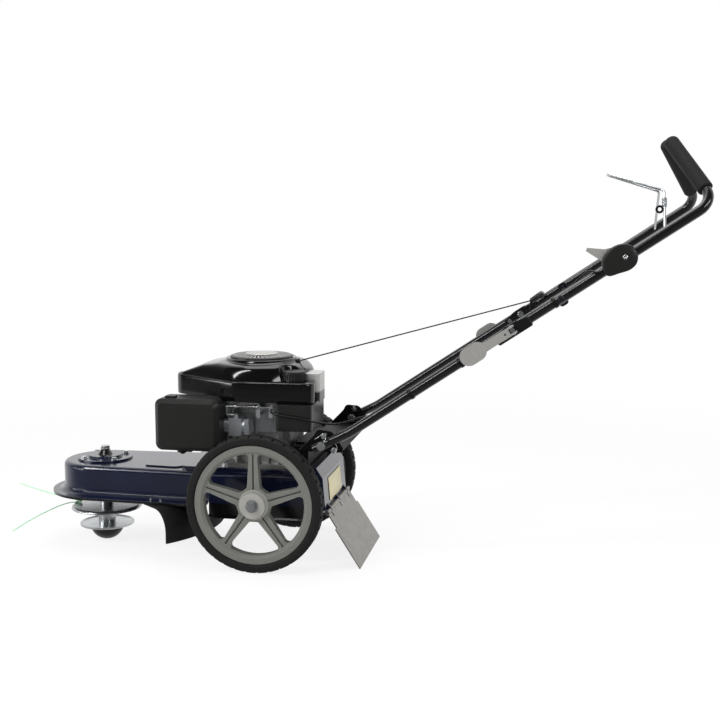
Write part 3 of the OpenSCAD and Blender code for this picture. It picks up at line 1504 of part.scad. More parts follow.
deck_pan();
belt_cover();
nose_plate();
spindle_housing();
spindle_bearings();
deck_bolts();
drive_belt();
axle_stubs();
axle_nuts();
debris_flap();
rear_frame();
rear_cover();
flap_rod();
handle_bracket();
bracket_bolts();
lower_tubes();
hinge_channels();
fold_bolts();
starter_rope();
throttle_cable_lower();
crankcase();
cylinder_block();
spark_plug();
cowl();
starter_grille();
fuel_tank();
air_filter_case();
air_filter_cover();
carburettor();
governor_linkage();
muffler();
oil_cap();
crankshaft();
flywheel();
engine_pulley();
spindle_shaft();
spindle_pulley();
line_plate();
lower_disc();
skid_ball();
trimmer_line();
idler_arm();
idler_pulley();
wheel_left();
tyre_left();
wheel_right();
tyre_right();
rear_flap();
upper_tubes();
grips();
cross_brace();
throttle_pod();
throttle_cable_upper();
bail();
throttle_lever();
cam_lever_left();
cam_lever_right();
fuel_cap();
starter_grip();
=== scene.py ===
import bmesh
import bpy
import numpy as np
from mathutils import Matrix


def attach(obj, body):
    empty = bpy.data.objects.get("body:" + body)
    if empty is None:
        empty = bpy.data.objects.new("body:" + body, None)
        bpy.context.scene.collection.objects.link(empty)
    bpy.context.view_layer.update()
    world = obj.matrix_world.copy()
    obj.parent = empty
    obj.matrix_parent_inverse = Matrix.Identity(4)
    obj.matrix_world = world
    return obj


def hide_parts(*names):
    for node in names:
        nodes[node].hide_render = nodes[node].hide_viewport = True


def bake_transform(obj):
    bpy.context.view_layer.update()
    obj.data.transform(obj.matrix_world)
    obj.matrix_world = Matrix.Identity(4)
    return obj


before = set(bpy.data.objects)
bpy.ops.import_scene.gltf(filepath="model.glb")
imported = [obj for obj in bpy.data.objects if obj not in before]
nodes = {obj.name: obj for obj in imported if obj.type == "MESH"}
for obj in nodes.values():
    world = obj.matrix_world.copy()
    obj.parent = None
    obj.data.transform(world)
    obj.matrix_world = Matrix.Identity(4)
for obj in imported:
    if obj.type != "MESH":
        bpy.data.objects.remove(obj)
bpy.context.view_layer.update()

# The studio: a white paper sweep under and behind the machine, a dimmer room on the camera's side, and
# three strip lights and a soft box. The camera stands to the machine's left, a little behind it and
# above the engine.
EYE = (0.789, -2.979, 0.930)
AHEAD = np.array([-0.18183, 0.97437, -0.13243])
RIGHT = np.array([0.98303, 0.18344, 0.0])
FOCAL_MM = 57.6
SENSOR_MM = 36.0
WHITE = (1, 1, 1, 1)
ROOM_LIGHT = 0.5
ROOM_DARK = 0.07
ROOM_TURN = (-0.15, 0.4)
LAMP_AIM = np.array([0.1, 0.0, 0.4])
LAMP_STEEP = 0.8
LAMPS = (("key_strip", (-1.7, -2.2, 2.5), (2.4, 0.35), 52),
         ("fill_strip", (2.6, -1.9, 1.7), (0.5, 1.8), 26),
         ("side_strip", (-2.3, -1.1, 0.5), (0.4, 1.4), 16),
         ("top_box", (0.1, 0.3, 2.8), (2.0, 2.0), 36))
FLOOR_CORNERS = 30 * np.array([[-1, -1, 0], [1, -1, 0], [1, 1, 0], [-1, 1, 0]])
FLOOR_WHITE = "#f7f7f6"
FLOOR_MIRRORED = "#6c6c6c"
FLOOR_GLOW = 0.84
FLOOR_DIM = 0.05
FLOOR_FADE = (0.9, 3.2)
FLOOR_TURN = (-0.5, 0.2)
# Sockets of a Mix node: its two colours, the colour it gives, and its two plain values.
TINT_A, TINT_B, TINT, VALUE_A, VALUE_B = 6, 7, 2, 2, 3


def linear(code):
    """An sRGB hex colour as linear red, green, blue and alpha."""
    s = np.array([int(code[k:k + 2], 16) / 255 for k in (1, 3, 5)])
    return (*np.where(s <= 0.04045, s / 12.92, ((s + 0.055) / 1.055) ** 2.4).tolist(), 1.0)


def add(tree, kind, sockets=(), links=(), **settings):
    """Adds one node, sets its properties and unlinked sockets, and links the outputs given for the rest."""
    node = tree.nodes.new(kind)
    for name, value in settings.items():
        setattr(node, name, value)
    for name, value in dict(sockets).items():
        node.inputs[name].default_value = value
    for name, output in dict(links).items():
        tree.links.new(output, node.inputs[name])
    return node


def stand(right, ahead, place):
    """Matrix of a camera or a lamp: its columns are right, up and backwards, and then its place."""
    m = np.eye(4)
    m[:3, :3] = np.stack([right, np.cross(right, ahead), -ahead], axis=1)
    m[:3, 3] = place
    return Matrix(m.tolist())


camera = bpy.data.objects.new("camera", bpy.data.cameras.new("camera"))
camera.data.lens = FOCAL_MM
camera.data.sensor_width = SENSOR_MM
camera.matrix_world = stand(RIGHT, AHEAD, EYE)
bpy.context.collection.objects.link(camera)
bpy.context.scene.camera = camera
bpy.context.scene.view_settings.view_transform = "Standard"

world = bpy.data.worlds.new("white_room")
bpy.context.scene.world = world
world.use_nodes = True
room = world.node_tree
room.nodes.clear()
ray = add(room, "ShaderNodeLightPath")
way = add(room, "ShaderNodeTexCoord").outputs["Object"]
way = add(room, "ShaderNodeSeparateXYZ", links={0: way})
sweep = add(room, "ShaderNodeMapRange",
            {"From Min": ROOM_TURN[0], "From Max": ROOM_TURN[1], "To Min": ROOM_DARK, "To Max": 1.0},
            {"Value": way.outputs["Y"]}, interpolation_type="SMOOTHSTEP")
level = add(room, "ShaderNodeMapRange", {"To Min": ROOM_LIGHT},
            {"Value": ray.outputs["Is Glossy Ray"], "To Max": sweep.outputs[0]})
seen = add(room, "ShaderNodeMath", operation="MAXIMUM",
           links={0: ray.outputs["Is Camera Ray"], 1: ray.outputs["Is Transmission Ray"]})
level = add(room, "ShaderNodeMapRange", {"To Max": 1.0},
            {"Value": seen.outputs[0], "To Min": level.outputs[0]})
sky = add(room, "ShaderNodeBackground", {"Color": WHITE}, {"Strength": level.outputs[0]})
add(room, "ShaderNodeOutputWorld", links={"Surface": sky.outputs[0]})

for name, place, size, watts in LAMPS:
    lamp = bpy.data.objects.new(name, bpy.data.lights.new(name, "AREA"))
    lamp.data.shape = "RECTANGLE"
    lamp.data.size, lamp.data.size_y = size
    lamp.data.energy = watts
    aim = LAMP_AIM - np.array(place)
    aim = aim / np.linalg.norm(aim)
    side = np.cross(aim, [0.0, 1.0, 0.0] if abs(aim[1]) < LAMP_STEEP else [1.0, 0.0, 0.0])
    side = side / np.linalg.norm(side)
    lamp.matrix_world = stand(side, aim, place)
    bpy.context.collection.objects.link(lamp)


def put(name, verts, faces, uv=None):
    """A mesh object at the origin from an array of points and a list of faces, shaded smooth."""
    mesh = bpy.data.meshes.new(name)
    mesh.from_pydata(np.asarray(verts).tolist(), [], faces)
    if uv is not None:
        layer = mesh.uv_layers.new(name="along")
        corner = np.empty(len(mesh.loops), np.int32)
        mesh.loops.foreach_get("vertex_index", corner)
        layer.data.foreach_set("uv", np.asarray(uv, np.float32)[corner].ravel())
    mesh.polygons.foreach_set("use_smooth", np.ones(len(mesh.polygons), bool))
    mesh.validate()
    piece = bpy.data.objects.new(name, mesh)
    bpy.context.collection.objects.link(piece)
    return piece


def bare(name):
    """A new material and its node tree, emptied."""
    mat = bpy.data.materials.new(name)
    mat.use_nodes = True
    mat.node_tree.nodes.clear()
    return mat, mat.node_tree


floor = put("studio_floor", FLOOR_CORNERS, [(0, 1, 2, 3)])
paper, sheet = bare("studio_paper")
ray = add(sheet, "ShaderNodeLightPath")
at = add(sheet, "ShaderNodeTexCoord").outputs["Object"]
reach = add(sheet, "ShaderNodeVectorMath", links={0: at}, operation="LENGTH")
fade = add(sheet, "ShaderNodeMapRange",
           {"From Min": FLOOR_FADE[0], "From Max": FLOOR_FADE[1], "To Min": FLOOR_GLOW, "To Max": 1.0},
           {"Value": reach.outputs["Value"]}, interpolation_type="SMOOTHSTEP")
across = add(sheet, "ShaderNodeSeparateXYZ", links={0: at})
mirrored = add(sheet, "ShaderNodeMapRange",
               {"From Min": FLOOR_TURN[0], "From Max": FLOOR_TURN[1], "To Min": FLOOR_DIM, "To Max": FLOOR_GLOW},
               {"Value": across.outputs["Y"]}, interpolation_type="SMOOTHSTEP")
mirrored = add(sheet, "ShaderNodeMath", operation="MULTIPLY",
               links={0: ray.outputs["Is Glossy Ray"], 1: mirrored.outputs[0]})
seen = add(sheet, "ShaderNodeMath", operation="MULTIPLY_ADD",
           links={0: ray.outputs["Is Camera Ray"], 1: fade.outputs[0], 2: mirrored.outputs[0]})
shade = add(sheet, "ShaderNodeMix", {TINT_A: linear(FLOOR_WHITE), TINT_B: linear(FLOOR_MIRRORED)},
            {0: ray.outputs["Is Glossy Ray"]}, data_type="RGBA")
matt = add(sheet, "ShaderNodeBsdfDiffuse", links={"Color": shade.outputs[TINT]})
glow = add(sheet, "ShaderNodeEmission", {"Color": WHITE, "Strength": 1.0})
both = add(sheet, "ShaderNodeMixShader", links={0: seen.outputs[0], 1: matt.outputs[0], 2: glow.outputs[0]})
add(sheet, "ShaderNodeOutputMaterial", links={"Surface": both.outputs[0]})
floor.data.materials.append(paper)


# The deck: pressed steel sheet in gloss navy enamel over primer, with the belt cover, the nose plate and the
# rear cover from the same sheet. Enamel flows a little before it sets, so it shows a faint orange peel. The
# deck's lower hem and the boot round the spindle are black.
NAVY = "#0a0e20"
NAVY_LIT = "#131934"
HEM_BLACK = "#0b0b0c"
HEM_TOP = (0.1505, 0.152)
BOOT_BLACK = "#0d0d0e"
BOOT_EDGE = (0.0315, 0.0325)
SPINDLE_AXIS = ((-0.492, 0.0, 0.0), (1.0, 1.0, 0.0))
# Cosines of the lean of an edge's rounded normal from the flat one, at which the edge colour is not given and
# given most: a rubbed finish on most pieces, a painted highlight on the wheels.
EDGE_FLAT, EDGE_SHARP = 0.97, 0.80


def cover(material, *names):
    """Gives the named CAD nodes this one material."""
    for name in names:
        slots = nodes[name].data.materials
        slots.clear()
        slots.append(material)


def rubbed_or_highlit_edge(tree, edge_mm, most):
    """The normal with its edges rounded, and how far the edge colour is given at them, up to the most given: a
    rubbed finish, and on the wheels a painted highlight.
    """
    rounded = add(tree, "ShaderNodeBevel", {"Radius": edge_mm / 1000}, samples=4).outputs[0]
    flat = add(tree, "ShaderNodeNewGeometry").outputs["Normal"]
    turn = add(tree, "ShaderNodeVectorMath", links={0: rounded, 1: flat}, operation="DOT_PRODUCT")
    worn_or_highlit = add(tree, "ShaderNodeMapRange", {"From Min": EDGE_FLAT, "From Max": EDGE_SHARP, "To Max": most},
               {"Value": turn.outputs["Value"]})
    return rounded, worn_or_highlit.outputs[0]


def enamel(name, colour, lit, roughness=0.16, peel_mm=5.0, cloud_mm=90.0, edge_mm=1.5, rubbed="#5b627c",
           wear_or_highlight=0.5, coat=0.35, shine=0.5):
    """Sprayed enamel: two close shades in soft clouds, a peel of fine waves, and edges drawn thin and pale."""
    mat, tree = bare(name)
    at = add(tree, "ShaderNodeTexCoord").outputs["Object"]
    cloud = add(tree, "ShaderNodeTexNoise", {"Scale": 1000 / cloud_mm, "Detail": 3.0}, {"Vector": at})
    peel = add(tree, "ShaderNodeTexNoise", {"Scale": 1000 / peel_mm, "Detail": 2.0}, {"Vector": at})
    rounded, worn_or_highlit = rubbed_or_highlit_edge(tree, edge_mm, wear_or_highlight)
    shade = add(tree, "ShaderNodeMix", {TINT_A: linear(colour), TINT_B: linear(lit)},
                {0: cloud.outputs["Fac"]}, data_type="RGBA")
    shade = add(tree, "ShaderNodeMix", {TINT_B: linear(rubbed)}, {0: worn_or_highlit, TINT_A: shade.outputs[TINT]},
                data_type="RGBA")
    wave = add(tree, "ShaderNodeBump", {"Strength": 0.05, "Distance": 0.0006},
               {"Height": peel.outputs["Fac"], "Normal": rounded})
    dull = add(tree, "ShaderNodeMapRange", {"To Min": roughness - 0.03, "To Max": roughness + 0.09},
               {"Value": cloud.outputs["Fac"]})
    paint = add(tree, "ShaderNodeBsdfPrincipled",
                {"IOR": 1.5, "Specular IOR Level": shine, "Coat Weight": coat, "Coat Roughness": 0.05},
                {"Base Color": shade.outputs[TINT], "Roughness": dull.outputs[0], "Normal": wave.outputs[0]})
    add(tree, "ShaderNodeOutputMaterial", links={"Surface": paint.outputs[0]})
    return mat


def two_tone(mat, name, second, edge, source, gloss=None):
    """A copy of a finish with a second colour below a measure of the place, which blends out over the edge's
    two values: source 'Z' reads the height, and a pair of triples reads the distance from a point along the
    axes marked 1. A gloss given is the roughness of the second colour's part."""
    both = mat.copy()
    both.name = name
    tree = both.node_tree
    paint = next(n for n in tree.nodes if n.type == "BSDF_PRINCIPLED")
    was = paint.inputs["Base Color"].links[0].from_socket
    at = next(n for n in tree.nodes if n.type == "TEX_COORD").outputs["Object"]
    if source != "Z":
        point, axes = np.array(source)
        at = add(tree, "ShaderNodeMapping", {"Location": (-point * axes).tolist(), "Scale": axes.tolist()},
                 {"Vector": at}).outputs[0]
        measure = add(tree, "ShaderNodeVectorMath", links={0: at}, operation="LENGTH").outputs["Value"]
    else:
        measure = add(tree, "ShaderNodeSeparateXYZ", links={0: at}).outputs["Z"]
    part = add(tree, "ShaderNodeMapRange", {"From Min": edge[0], "From Max": edge[1]}, {"Value": measure})
    tone = add(tree, "ShaderNodeMix", {TINT_A: linear(second)}, {0: part.outputs[0], TINT_B: was},
               data_type="RGBA")
    tree.links.new(tone.outputs[TINT], paint.inputs["Base Color"])
    if gloss is not None:
        was = paint.inputs["Roughness"].links[0].from_socket
        dull = add(tree, "ShaderNodeMix", {VALUE_A: gloss}, {0: part.outputs[0], VALUE_B: was},
                   data_type="FLOAT")
        tree.links.new(dull.outputs[0], paint.inputs["Roughness"])
    return both


navy_enamel = enamel("navy_enamel", NAVY, NAVY_LIT)
cover(navy_enamel, "belt_cover", "rear_cover")
cover(two_tone(navy_enamel, "navy_enamel_black_hem", HEM_BLACK, HEM_TOP, "Z"), "deck_pan")
cover(two_tone(navy_enamel, "navy_enamel_black_boot", BOOT_BLACK, BOOT_EDGE, SPINDLE_AXIS), "nose_plate")


# The cutting head: zinc-plated steel discs on a turned spindle, and a black moulded skid ball under
# them. Plating leaves fine crystals that break the shine into small patches. The bolts, the axle and the
# hinge rod are plated too.
def plated(name, colour, roughness=0.28, grain_mm=3.0, stain_mm=28.0, edge_mm=0.6, stained="#a6a9ac"):
    """Zinc plate and other bare metal: crystal cells, drawn coarser than the real tenth of a millimetre so that
    they show, vary the roughness, and soft stains vary the shade."""
    mat, tree = bare(name)
    at = add(tree, "ShaderNodeTexCoord").outputs["Object"]
    crystal = add(tree, "ShaderNodeTexVoronoi", {"Scale": 1000 / grain_mm}, {"Vector": at})
    stain = add(tree, "ShaderNodeTexNoise", {"Scale": 1000 / stain_mm, "Detail": 4.0}, {"Vector": at})
    rounded = add(tree, "ShaderNodeBevel", {"Radius": edge_mm / 1000}, samples=3).outputs[0]
    dull = add(tree, "ShaderNodeMapRange", {"To Min": roughness - 0.04, "To Max": roughness + 0.08},
               {"Value": crystal.outputs["Distance"]})
    tone = add(tree, "ShaderNodeMix", {TINT_A: linear(colour), TINT_B: linear(stained)},
               {0: stain.outputs["Fac"]}, data_type="RGBA")
    metal = add(tree, "ShaderNodeBsdfPrincipled", {"Metallic": 1.0},
                {"Base Color": tone.outputs[TINT], "Roughness": dull.outputs[0], "Normal": rounded})
    add(tree, "ShaderNodeOutputMaterial", links={"Surface": metal.outputs[0]})
    return mat


zinc = plated("zinc_plate", "#e4e7e8")
cover(zinc, "spindle_shaft", "line_plate", "lower_disc", "deck_bolts", "axle_stubs", "axle_nuts", "flap_rod",
      "bracket_bolts", "fold_bolts", "idler_arm", "spindle_bearings")


def moulded(name, colour, roughness=0.42, grain_mm=2.6, depth_mm=0.05, cloud_mm=60.0, edge_mm=1.0,
            scuff_or_highlight="#3a3b3d", wear_or_highlight=0.35, shine=0.3):
    """Moulded plastic: a spark-eroded grain, drawn coarser than the real half millimetre so that it shows,
    a slow change of gloss and a pale colour on the edges: scuffs, and on the wheels a painted highlight."""
    mat, tree = bare(name)
    at = add(tree, "ShaderNodeTexCoord").outputs["Object"]
    grain = add(tree, "ShaderNodeTexNoise", {"Scale": 1000 / grain_mm, "Detail": 3.0}, {"Vector": at})
    cloud = add(tree, "ShaderNodeTexNoise", {"Scale": 1000 / cloud_mm, "Detail": 2.0}, {"Vector": at})
    rounded, worn_or_highlit = rubbed_or_highlit_edge(tree, edge_mm, wear_or_highlight)
    shade = add(tree, "ShaderNodeMix", {TINT_A: linear(colour), TINT_B: linear(scuff_or_highlight)}, {0: worn_or_highlit},
                data_type="RGBA")
    dull = add(tree, "ShaderNodeMapRange", {"To Min": roughness - 0.06, "To Max": roughness + 0.08},
               {"Value": cloud.outputs["Fac"]})
    skin = add(tree, "ShaderNodeBump", {"Strength": 0.35, "Distance": depth_mm / 1000},
               {"Height": grain.outputs["Fac"], "Normal": rounded})
    body = add(tree, "ShaderNodeBsdfPrincipled", {"IOR": 1.49, "Specular IOR Level": shine},
               {"Base Color": shade.outputs[TINT], "Roughness": dull.outputs[0], "Normal": skin.outputs[0]})
    add(tree, "ShaderNodeOutputMaterial", links={"Surface": body.outputs[0]})
    return mat


black_nylon = moulded("black_nylon", "#0c0c0d", roughness=0.3)
cover(black_nylon, "skid_ball", "idler_pulley")


# The trimmer line: green monofilament, one length doubled through the plate, so two strands leave
# the same knot. Drawn nylon keeps a slight curl and lets light into its edge.
LINE_MM = 2.7
LINE_GREEN = "#3fce74"
LINE_LIT = "#d6f4d8"
LINE_SIDES = 10
LINE_STEPS = 6
# Draw lines round the section, so about 0.2 mm apart.
DRAW_LINES = 40.0
# Directions that no route or coil follows, from which the first direction across it is worked out.
SWEEP_ASIDE = [0.35, 0.55, -0.76]
COIL_ASIDE = [0.9, 0.2, -0.1]
KNOT_FROM = np.array([-0.594, 0.014, 0.1065])
KNOT_TO = np.array([-0.566, -0.004, 0.1062])
KNOT_RADIUS = 0.0038
KNOT_TURNS = 6.5
FIRST_STRAND = np.array([[-588, 12, 102], [-606, 16, 103.5], [-632, 20, 107.5], [-672, 26, 114],
                         [-712, 34, 120.5], [-748, 42, 127], [-778, 49, 133.2]]) / 1000
SECOND_STRAND = np.array([[-588, 12, 102], [-578, 2, 102], [-582, -9, 102], [-596, -22, 102],
                          [-612, -50, 100], [-628, -95, 95], [-642, -142, 89], [-653, -188, 82],
                          [-662, -229, 75]]) / 1000


def smooth_route(points, steps):
    """Catmull-Rom curve through the points: each span is a cubic of its four neighbours, at equal steps."""
    p = np.vstack([2 * points[0] - points[1], points, 2 * points[-1] - points[-2]])
    t = np.arange(steps)[:, None, None] / steps
    a, b, c, d = (p[k:len(p) - 3 + k][None] for k in range(4))
    spans = 0.5 * (2 * b + (c - a) * t + (2 * a - 5 * b + 4 * c - d) * t**2 + (3 * b - a - 3 * c + d) * t**3)
    return np.vstack([spans.transpose(1, 0, 2).reshape(-1, points.shape[1]), points[-1:]])


def run_so_far(route):
    """Distance along a route at each of its points."""
    return np.concatenate([[0], np.linalg.norm(np.diff(route, axis=0), axis=1).cumsum()])


def ring_faces(rows, cols):
    """Four-sided faces between rows of points that run round and close on themselves."""
    i, k = np.meshgrid(np.arange(rows - 1), np.arange(cols), indexing="ij")
    n = (k + 1) % cols
    quads = np.stack([i * cols + k, i * cols + n, (i + 1) * cols + n, (i + 1) * cols + k], axis=-1)
    return quads.reshape(-1, 4).tolist()


def swept(name, route, radius, sides=12):
    """A round section carried along a route: each ring stands across the route's direction, ends are closed,
    and the UV map holds the turn about the section and the distance along the route in metres."""
    count = len(route)
    ahead = np.gradient(route, axis=0)
    ahead /= np.linalg.norm(ahead, axis=1)[:, None]
    u = np.cross(ahead, SWEEP_ASIDE)
    u /= np.linalg.norm(u, axis=1)[:, None]
    v = np.cross(ahead, u)
    a = np.linspace(0, 2 * np.pi, sides, endpoint=False)
    across = np.cos(a)[None, :, None] * u[:, None] + np.sin(a)[None, :, None] * v[:, None]
    ring = route[:, None] + radius * across
    uv = np.stack([np.broadcast_to(a / (2 * np.pi), (count, sides)),
                   np.broadcast_to(run_so_far(route)[:, None], (count, sides))], axis=-1)
    last = (count - 1) * sides
    caps = [list(range(sides))[::-1], [last + j for j in range(sides)]]
    return put(name, ring.reshape(-1, 3), ring_faces(count, sides) + caps, uv.reshape(-1, 2))


def drawn_nylon(name, colour, lit):
    """Clear coloured nylon: light goes a little way in, and fine draw lines run along it."""
    mat, tree = bare(name)
    uv = add(tree, "ShaderNodeTexCoord").outputs["UV"]
    drawn = add(tree, "ShaderNodeTexNoise", {"Scale": DRAW_LINES, "Detail": 2.0}, {"Vector": uv})
    tone = add(tree, "ShaderNodeMix", {TINT_A: linear(colour), TINT_B: linear(lit)},
               {0: drawn.outputs["Fac"]}, data_type="RGBA")
    body = add(tree, "ShaderNodeBsdfPrincipled",
               {"IOR": 1.53, "Roughness": 0.3, "Subsurface Weight": 0.25,
                "Subsurface Radius": (0.002, 0.003, 0.002)}, {"Base Color": tone.outputs[TINT]})
    add(tree, "ShaderNodeOutputMaterial", links={"Surface": body.outputs[0]})
    return mat


def coil(start, end, radius, turns, steps=18):
    """A helix of the radius given about the line from start to end."""
    axis = (end - start) / np.linalg.norm(end - start)
    u = np.cross(axis, COIL_ASIDE)
    u /= np.linalg.norm(u)
    v = np.cross(axis, u)
    t = np.linspace(0, 1, int(turns * steps) + 1)[:, None]
    a = 2 * np.pi * turns * t
    return start + (end - start) * t + radius * (np.cos(a) * u + np.sin(a) * v)


green_line = drawn_nylon("green_monofilament", LINE_GREEN, LINE_LIT)
knot = swept("line_knot", coil(KNOT_FROM, KNOT_TO, KNOT_RADIUS, KNOT_TURNS), LINE_MM / 2000, LINE_SIDES)
knot.data.materials.append(green_line)
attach(knot, "head")
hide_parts("trimmer_line")
for name, points in (("line_strand_left", FIRST_STRAND), ("line_strand_near", SECOND_STRAND)):
    route = smooth_route(points, LINE_STEPS)
    strand = swept(name, route, LINE_MM / 2000, LINE_SIDES)
    strand.data.materials.append(green_line)
    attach(strand, "head")
    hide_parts("trimmer_line")


# The debris flap, belt and grips: black rubber, moulded or extruded, which takes dust and shines only
# where hands or grass rub it.
RUBBER_BLOOM = "#1f1e1d"


def rubber(name, colour, roughness=0.62, grain_mm=4.0, depth_mm=0.12, bloom_mm=45.0, edge_mm=1.2):
    """Black rubber: a leathery grain, drawn coarser than the real millimetre so that it shows, and a grey
    bloom in patches."""
    mat, tree = bare(name)
    at = add(tree, "ShaderNodeTexCoord").outputs["Object"]
    grain = add(tree, "ShaderNodeTexVoronoi", {"Scale": 1000 / grain_mm}, {"Vector": at})
    bloom = add(tree, "ShaderNodeTexNoise", {"Scale": 1000 / bloom_mm, "Detail": 4.0}, {"Vector": at})
    rounded = add(tree, "ShaderNodeBevel", {"Radius": edge_mm / 1000}, samples=3).outputs[0]
    tone = add(tree, "ShaderNodeMix", {TINT_A: linear(colour), TINT_B: linear(RUBBER_BLOOM)},
               {0: bloom.outputs["Fac"]}, data_type="RGBA")
    dull = add(tree, "ShaderNodeMapRange", {"To Min": roughness - 0.1, "To Max": roughness + 0.12},
               {"Value": bloom.outputs["Fac"]})
    skin = add(tree, "ShaderNodeBump", {"Strength": 0.3, "Distance": depth_mm / 1000},
               {"Height": grain.outputs["Distance"], "Normal": rounded})
    body = add(tree, "ShaderNodeBsdfPrincipled", {"IOR": 1.52, "Specular IOR Level": 0.2},
               {"Base Color": tone.outputs[TINT], "Roughness": dull.outputs[0], "Normal": skin.outputs[0]})
    add(tree, "ShaderNodeOutputMaterial", links={"Surface": body.outputs[0]})
    return mat


black_rubber = rubber("moulded_rubber", "#101010")
cover(black_rubber, "debris_flap", "drive_belt", "grips")


# The wheels: grey glass-filled nylon rims with five ribbed spokes, and semi-solid rubber tyres. Beyond the hub
# the rim's face is painted a darker grey, as painted shade in its recess, and its edges carry a pale painted
# highlight.
# The cam levers and the throttle lever are of the same nylon.
WHEEL_AXIS = ((0.0, 0.0, 0.1778), (1.0, 0.0, 1.0))
# The hub's own grey; beyond its edge the rim's face is painted darker, as painted shade of its recess.
HUB_UNSHADED_GREY = "#979691"
HUB_EDGE = (0.0385, 0.0395)
grey_nylon = moulded("grey_glass_nylon", "#8c8b88", roughness=0.4, grain_mm=3.0, scuff_or_highlight="#c6c8ca")
cover(grey_nylon, "cam_lever_left", "cam_lever_right", "throttle_lever")
# The wheels' pale edge colour is a painted highlight on the rim and spoke edges, not a scuff.
wheel_nylon = moulded("wheel_glass_nylon", "#6c6d68", roughness=0.4, grain_mm=3.0, edge_mm=1.8, scuff_or_highlight="#d2d4d2")
# Painted shade: outside the hub the rim keeps the darker grey, as the shade in its recessed face.
cover(two_tone(wheel_nylon, "wheel_glass_nylon_pale_hub", HUB_UNSHADED_GREY, HUB_EDGE, WHEEL_AXIS),
      "wheel_left", "wheel_right")
tyre_rubber = rubber("tyre_rubber", "#171717", roughness=0.68, grain_mm=5.0)
cover(tyre_rubber, "tyre_left", "tyre_right")


# The engine: die-cast aluminium crankcase and finned cylinder under a gloss black cowl, with a charcoal
# tank, air filter box and caps of moulded nylon. The tank's tower behind the cowl is painted pale grey, a
# painted reflection of the white backdrop. The carburettor and its linkage are zinc, passivated.
CAST_SHADE = "#8f9193"
# Painted reflection: above this height the tank's tower is painted pale grey, as the white backdrop mirrored in
# it.
TOWER_REFLECTION = "#a9a9a8"
TOWER_EDGE = (0.452, 0.446)
TOWER_GLOSS = 0.2


def cast(name, colour, roughness=0.46, grain_mm=3.5, depth_mm=0.2, edge_mm=1.2):
    """Die-cast aluminium: a grainy skin, drawn coarser than the real half millimetre so that it shows, mottled
    in shade and gloss, with its edges rounded."""
    mat, tree = bare(name)
    at = add(tree, "ShaderNodeTexCoord").outputs["Object"]
    grain = add(tree, "ShaderNodeTexNoise", {"Scale": 1000 / grain_mm, "Detail": 5.0}, {"Vector": at})
    rounded = add(tree, "ShaderNodeBevel", {"Radius": edge_mm / 1000}, samples=3).outputs[0]
    tone = add(tree, "ShaderNodeMix", {TINT_A: linear(colour), TINT_B: linear(CAST_SHADE)},
               {0: grain.outputs["Fac"]}, data_type="RGBA")
    skin = add(tree, "ShaderNodeBump", {"Strength": 0.4, "Distance": depth_mm / 1000},
               {"Height": grain.outputs["Fac"], "Normal": rounded})
    dull = add(tree, "ShaderNodeMapRange", {"To Min": roughness - 0.12, "To Max": roughness + 0.14},
               {"Value": grain.outputs["Fac"]})
    metal = add(tree, "ShaderNodeBsdfPrincipled", {"Metallic": 1.0},
                {"Base Color": tone.outputs[TINT], "Roughness": dull.outputs[0], "Normal": skin.outputs[0]})
    add(tree, "ShaderNodeOutputMaterial", links={"Surface": metal.outputs[0]})
    return mat


cast_alloy = cast("die_cast_aluminium", "#c9c8c5")
cover(cast_alloy, "crankcase", "cylinder_block", "spindle_housing", "flywheel", "spindle_pulley",
      "engine_pulley", "crankshaft")
charcoal = moulded("charcoal_nylon", "#1d1d1c", roughness=0.38)
cover(charcoal, "fuel_cap", "air_filter_case", "air_filter_cover", "oil_cap", "throttle_pod", "starter_grip")
tank_nylon = moulded("tank_nylon", "#1a1a19", roughness=0.24, depth_mm=0.02, shine=0.55)
cover(two_tone(tank_nylon, "tank_nylon_pale_tower", TOWER_REFLECTION, TOWER_EDGE, "Z", TOWER_GLOSS), "fuel_tank")
passivated = plated("passivated_zinc", "#eef1f4", roughness=0.42, stained="#c3c9ce")
cover(passivated, "carburettor", "governor_linkage")
muffler_paint = enamel("heat_black", "#141414", "#1c1c1c", roughness=0.5)
cover(muffler_paint, "muffler")
plug_rubber = moulded("plug_cap_rubber", "#161616", roughness=0.5)
cover(plug_rubber, "spark_plug")


# The cowl: a gloss black moulding on posts of the crankcase, which carries the starter. Its straight skirt
# ends in a ledge, and from there a steep side and a sloping top meet in a soft crease and rise to the collar
# round the grille.
CRANK = np.array([-0.036, 0.0])
SKIRT = np.array([[-0.224, 0.0, 0.048], [-0.036, 0.0, 0.148], [0.112, -0.124, 0.025]])
DOME = np.array([[-0.224, 0.0, 0.044], [-0.036, 0.0, 0.144]])
COWL_WALL = 0.0025
COWL_COLUMNS = 320
SKIRT_LOW = 0.427
SKIRT_IN = np.array([0.0030, 0.0008, 0.0, 0.0, 0.0, 0.0, 0.0004, 0.0016, 0.0034])
SKIRT_Z = np.array([SKIRT_LOW, SKIRT_LOW, SKIRT_LOW + 0.0012, 0.440, 0.456, 0.4735, 0.4770, 0.4792, 0.4800])
LEDGE_OUT, LEDGE_LIP, LEDGE_ROOT, LEDGE_FOOT = 0.0026, 0.0036, 0.0012, 0.0004
LEDGE_Z = np.array([0.4801, 0.4788, 0.4788])
SEAM = 0.480
DOME_ROWS = 60
DOME_EASE = 1.35
SIDE_RISE = 0.056
SIDE_EASE = 0.014
RIDGE_X = np.array([-0.280, -0.266, -0.233, -0.182, -0.135, -0.100, 0.040, 0.070, 0.100, 0.120])
RIDGE_Z = np.array([0.470, 0.4795, 0.4925, 0.5125, 0.5215, 0.5230, 0.5225, 0.5170, 0.5020, 0.4840])
RIDGE_CROWN = 0.35
CREASE = 0.0035
CAP_AT = np.array([0.080, -0.104])
CAP_CLEAR = 0.0335
CAP_SLOPE = 5
COLLAR = 0.103
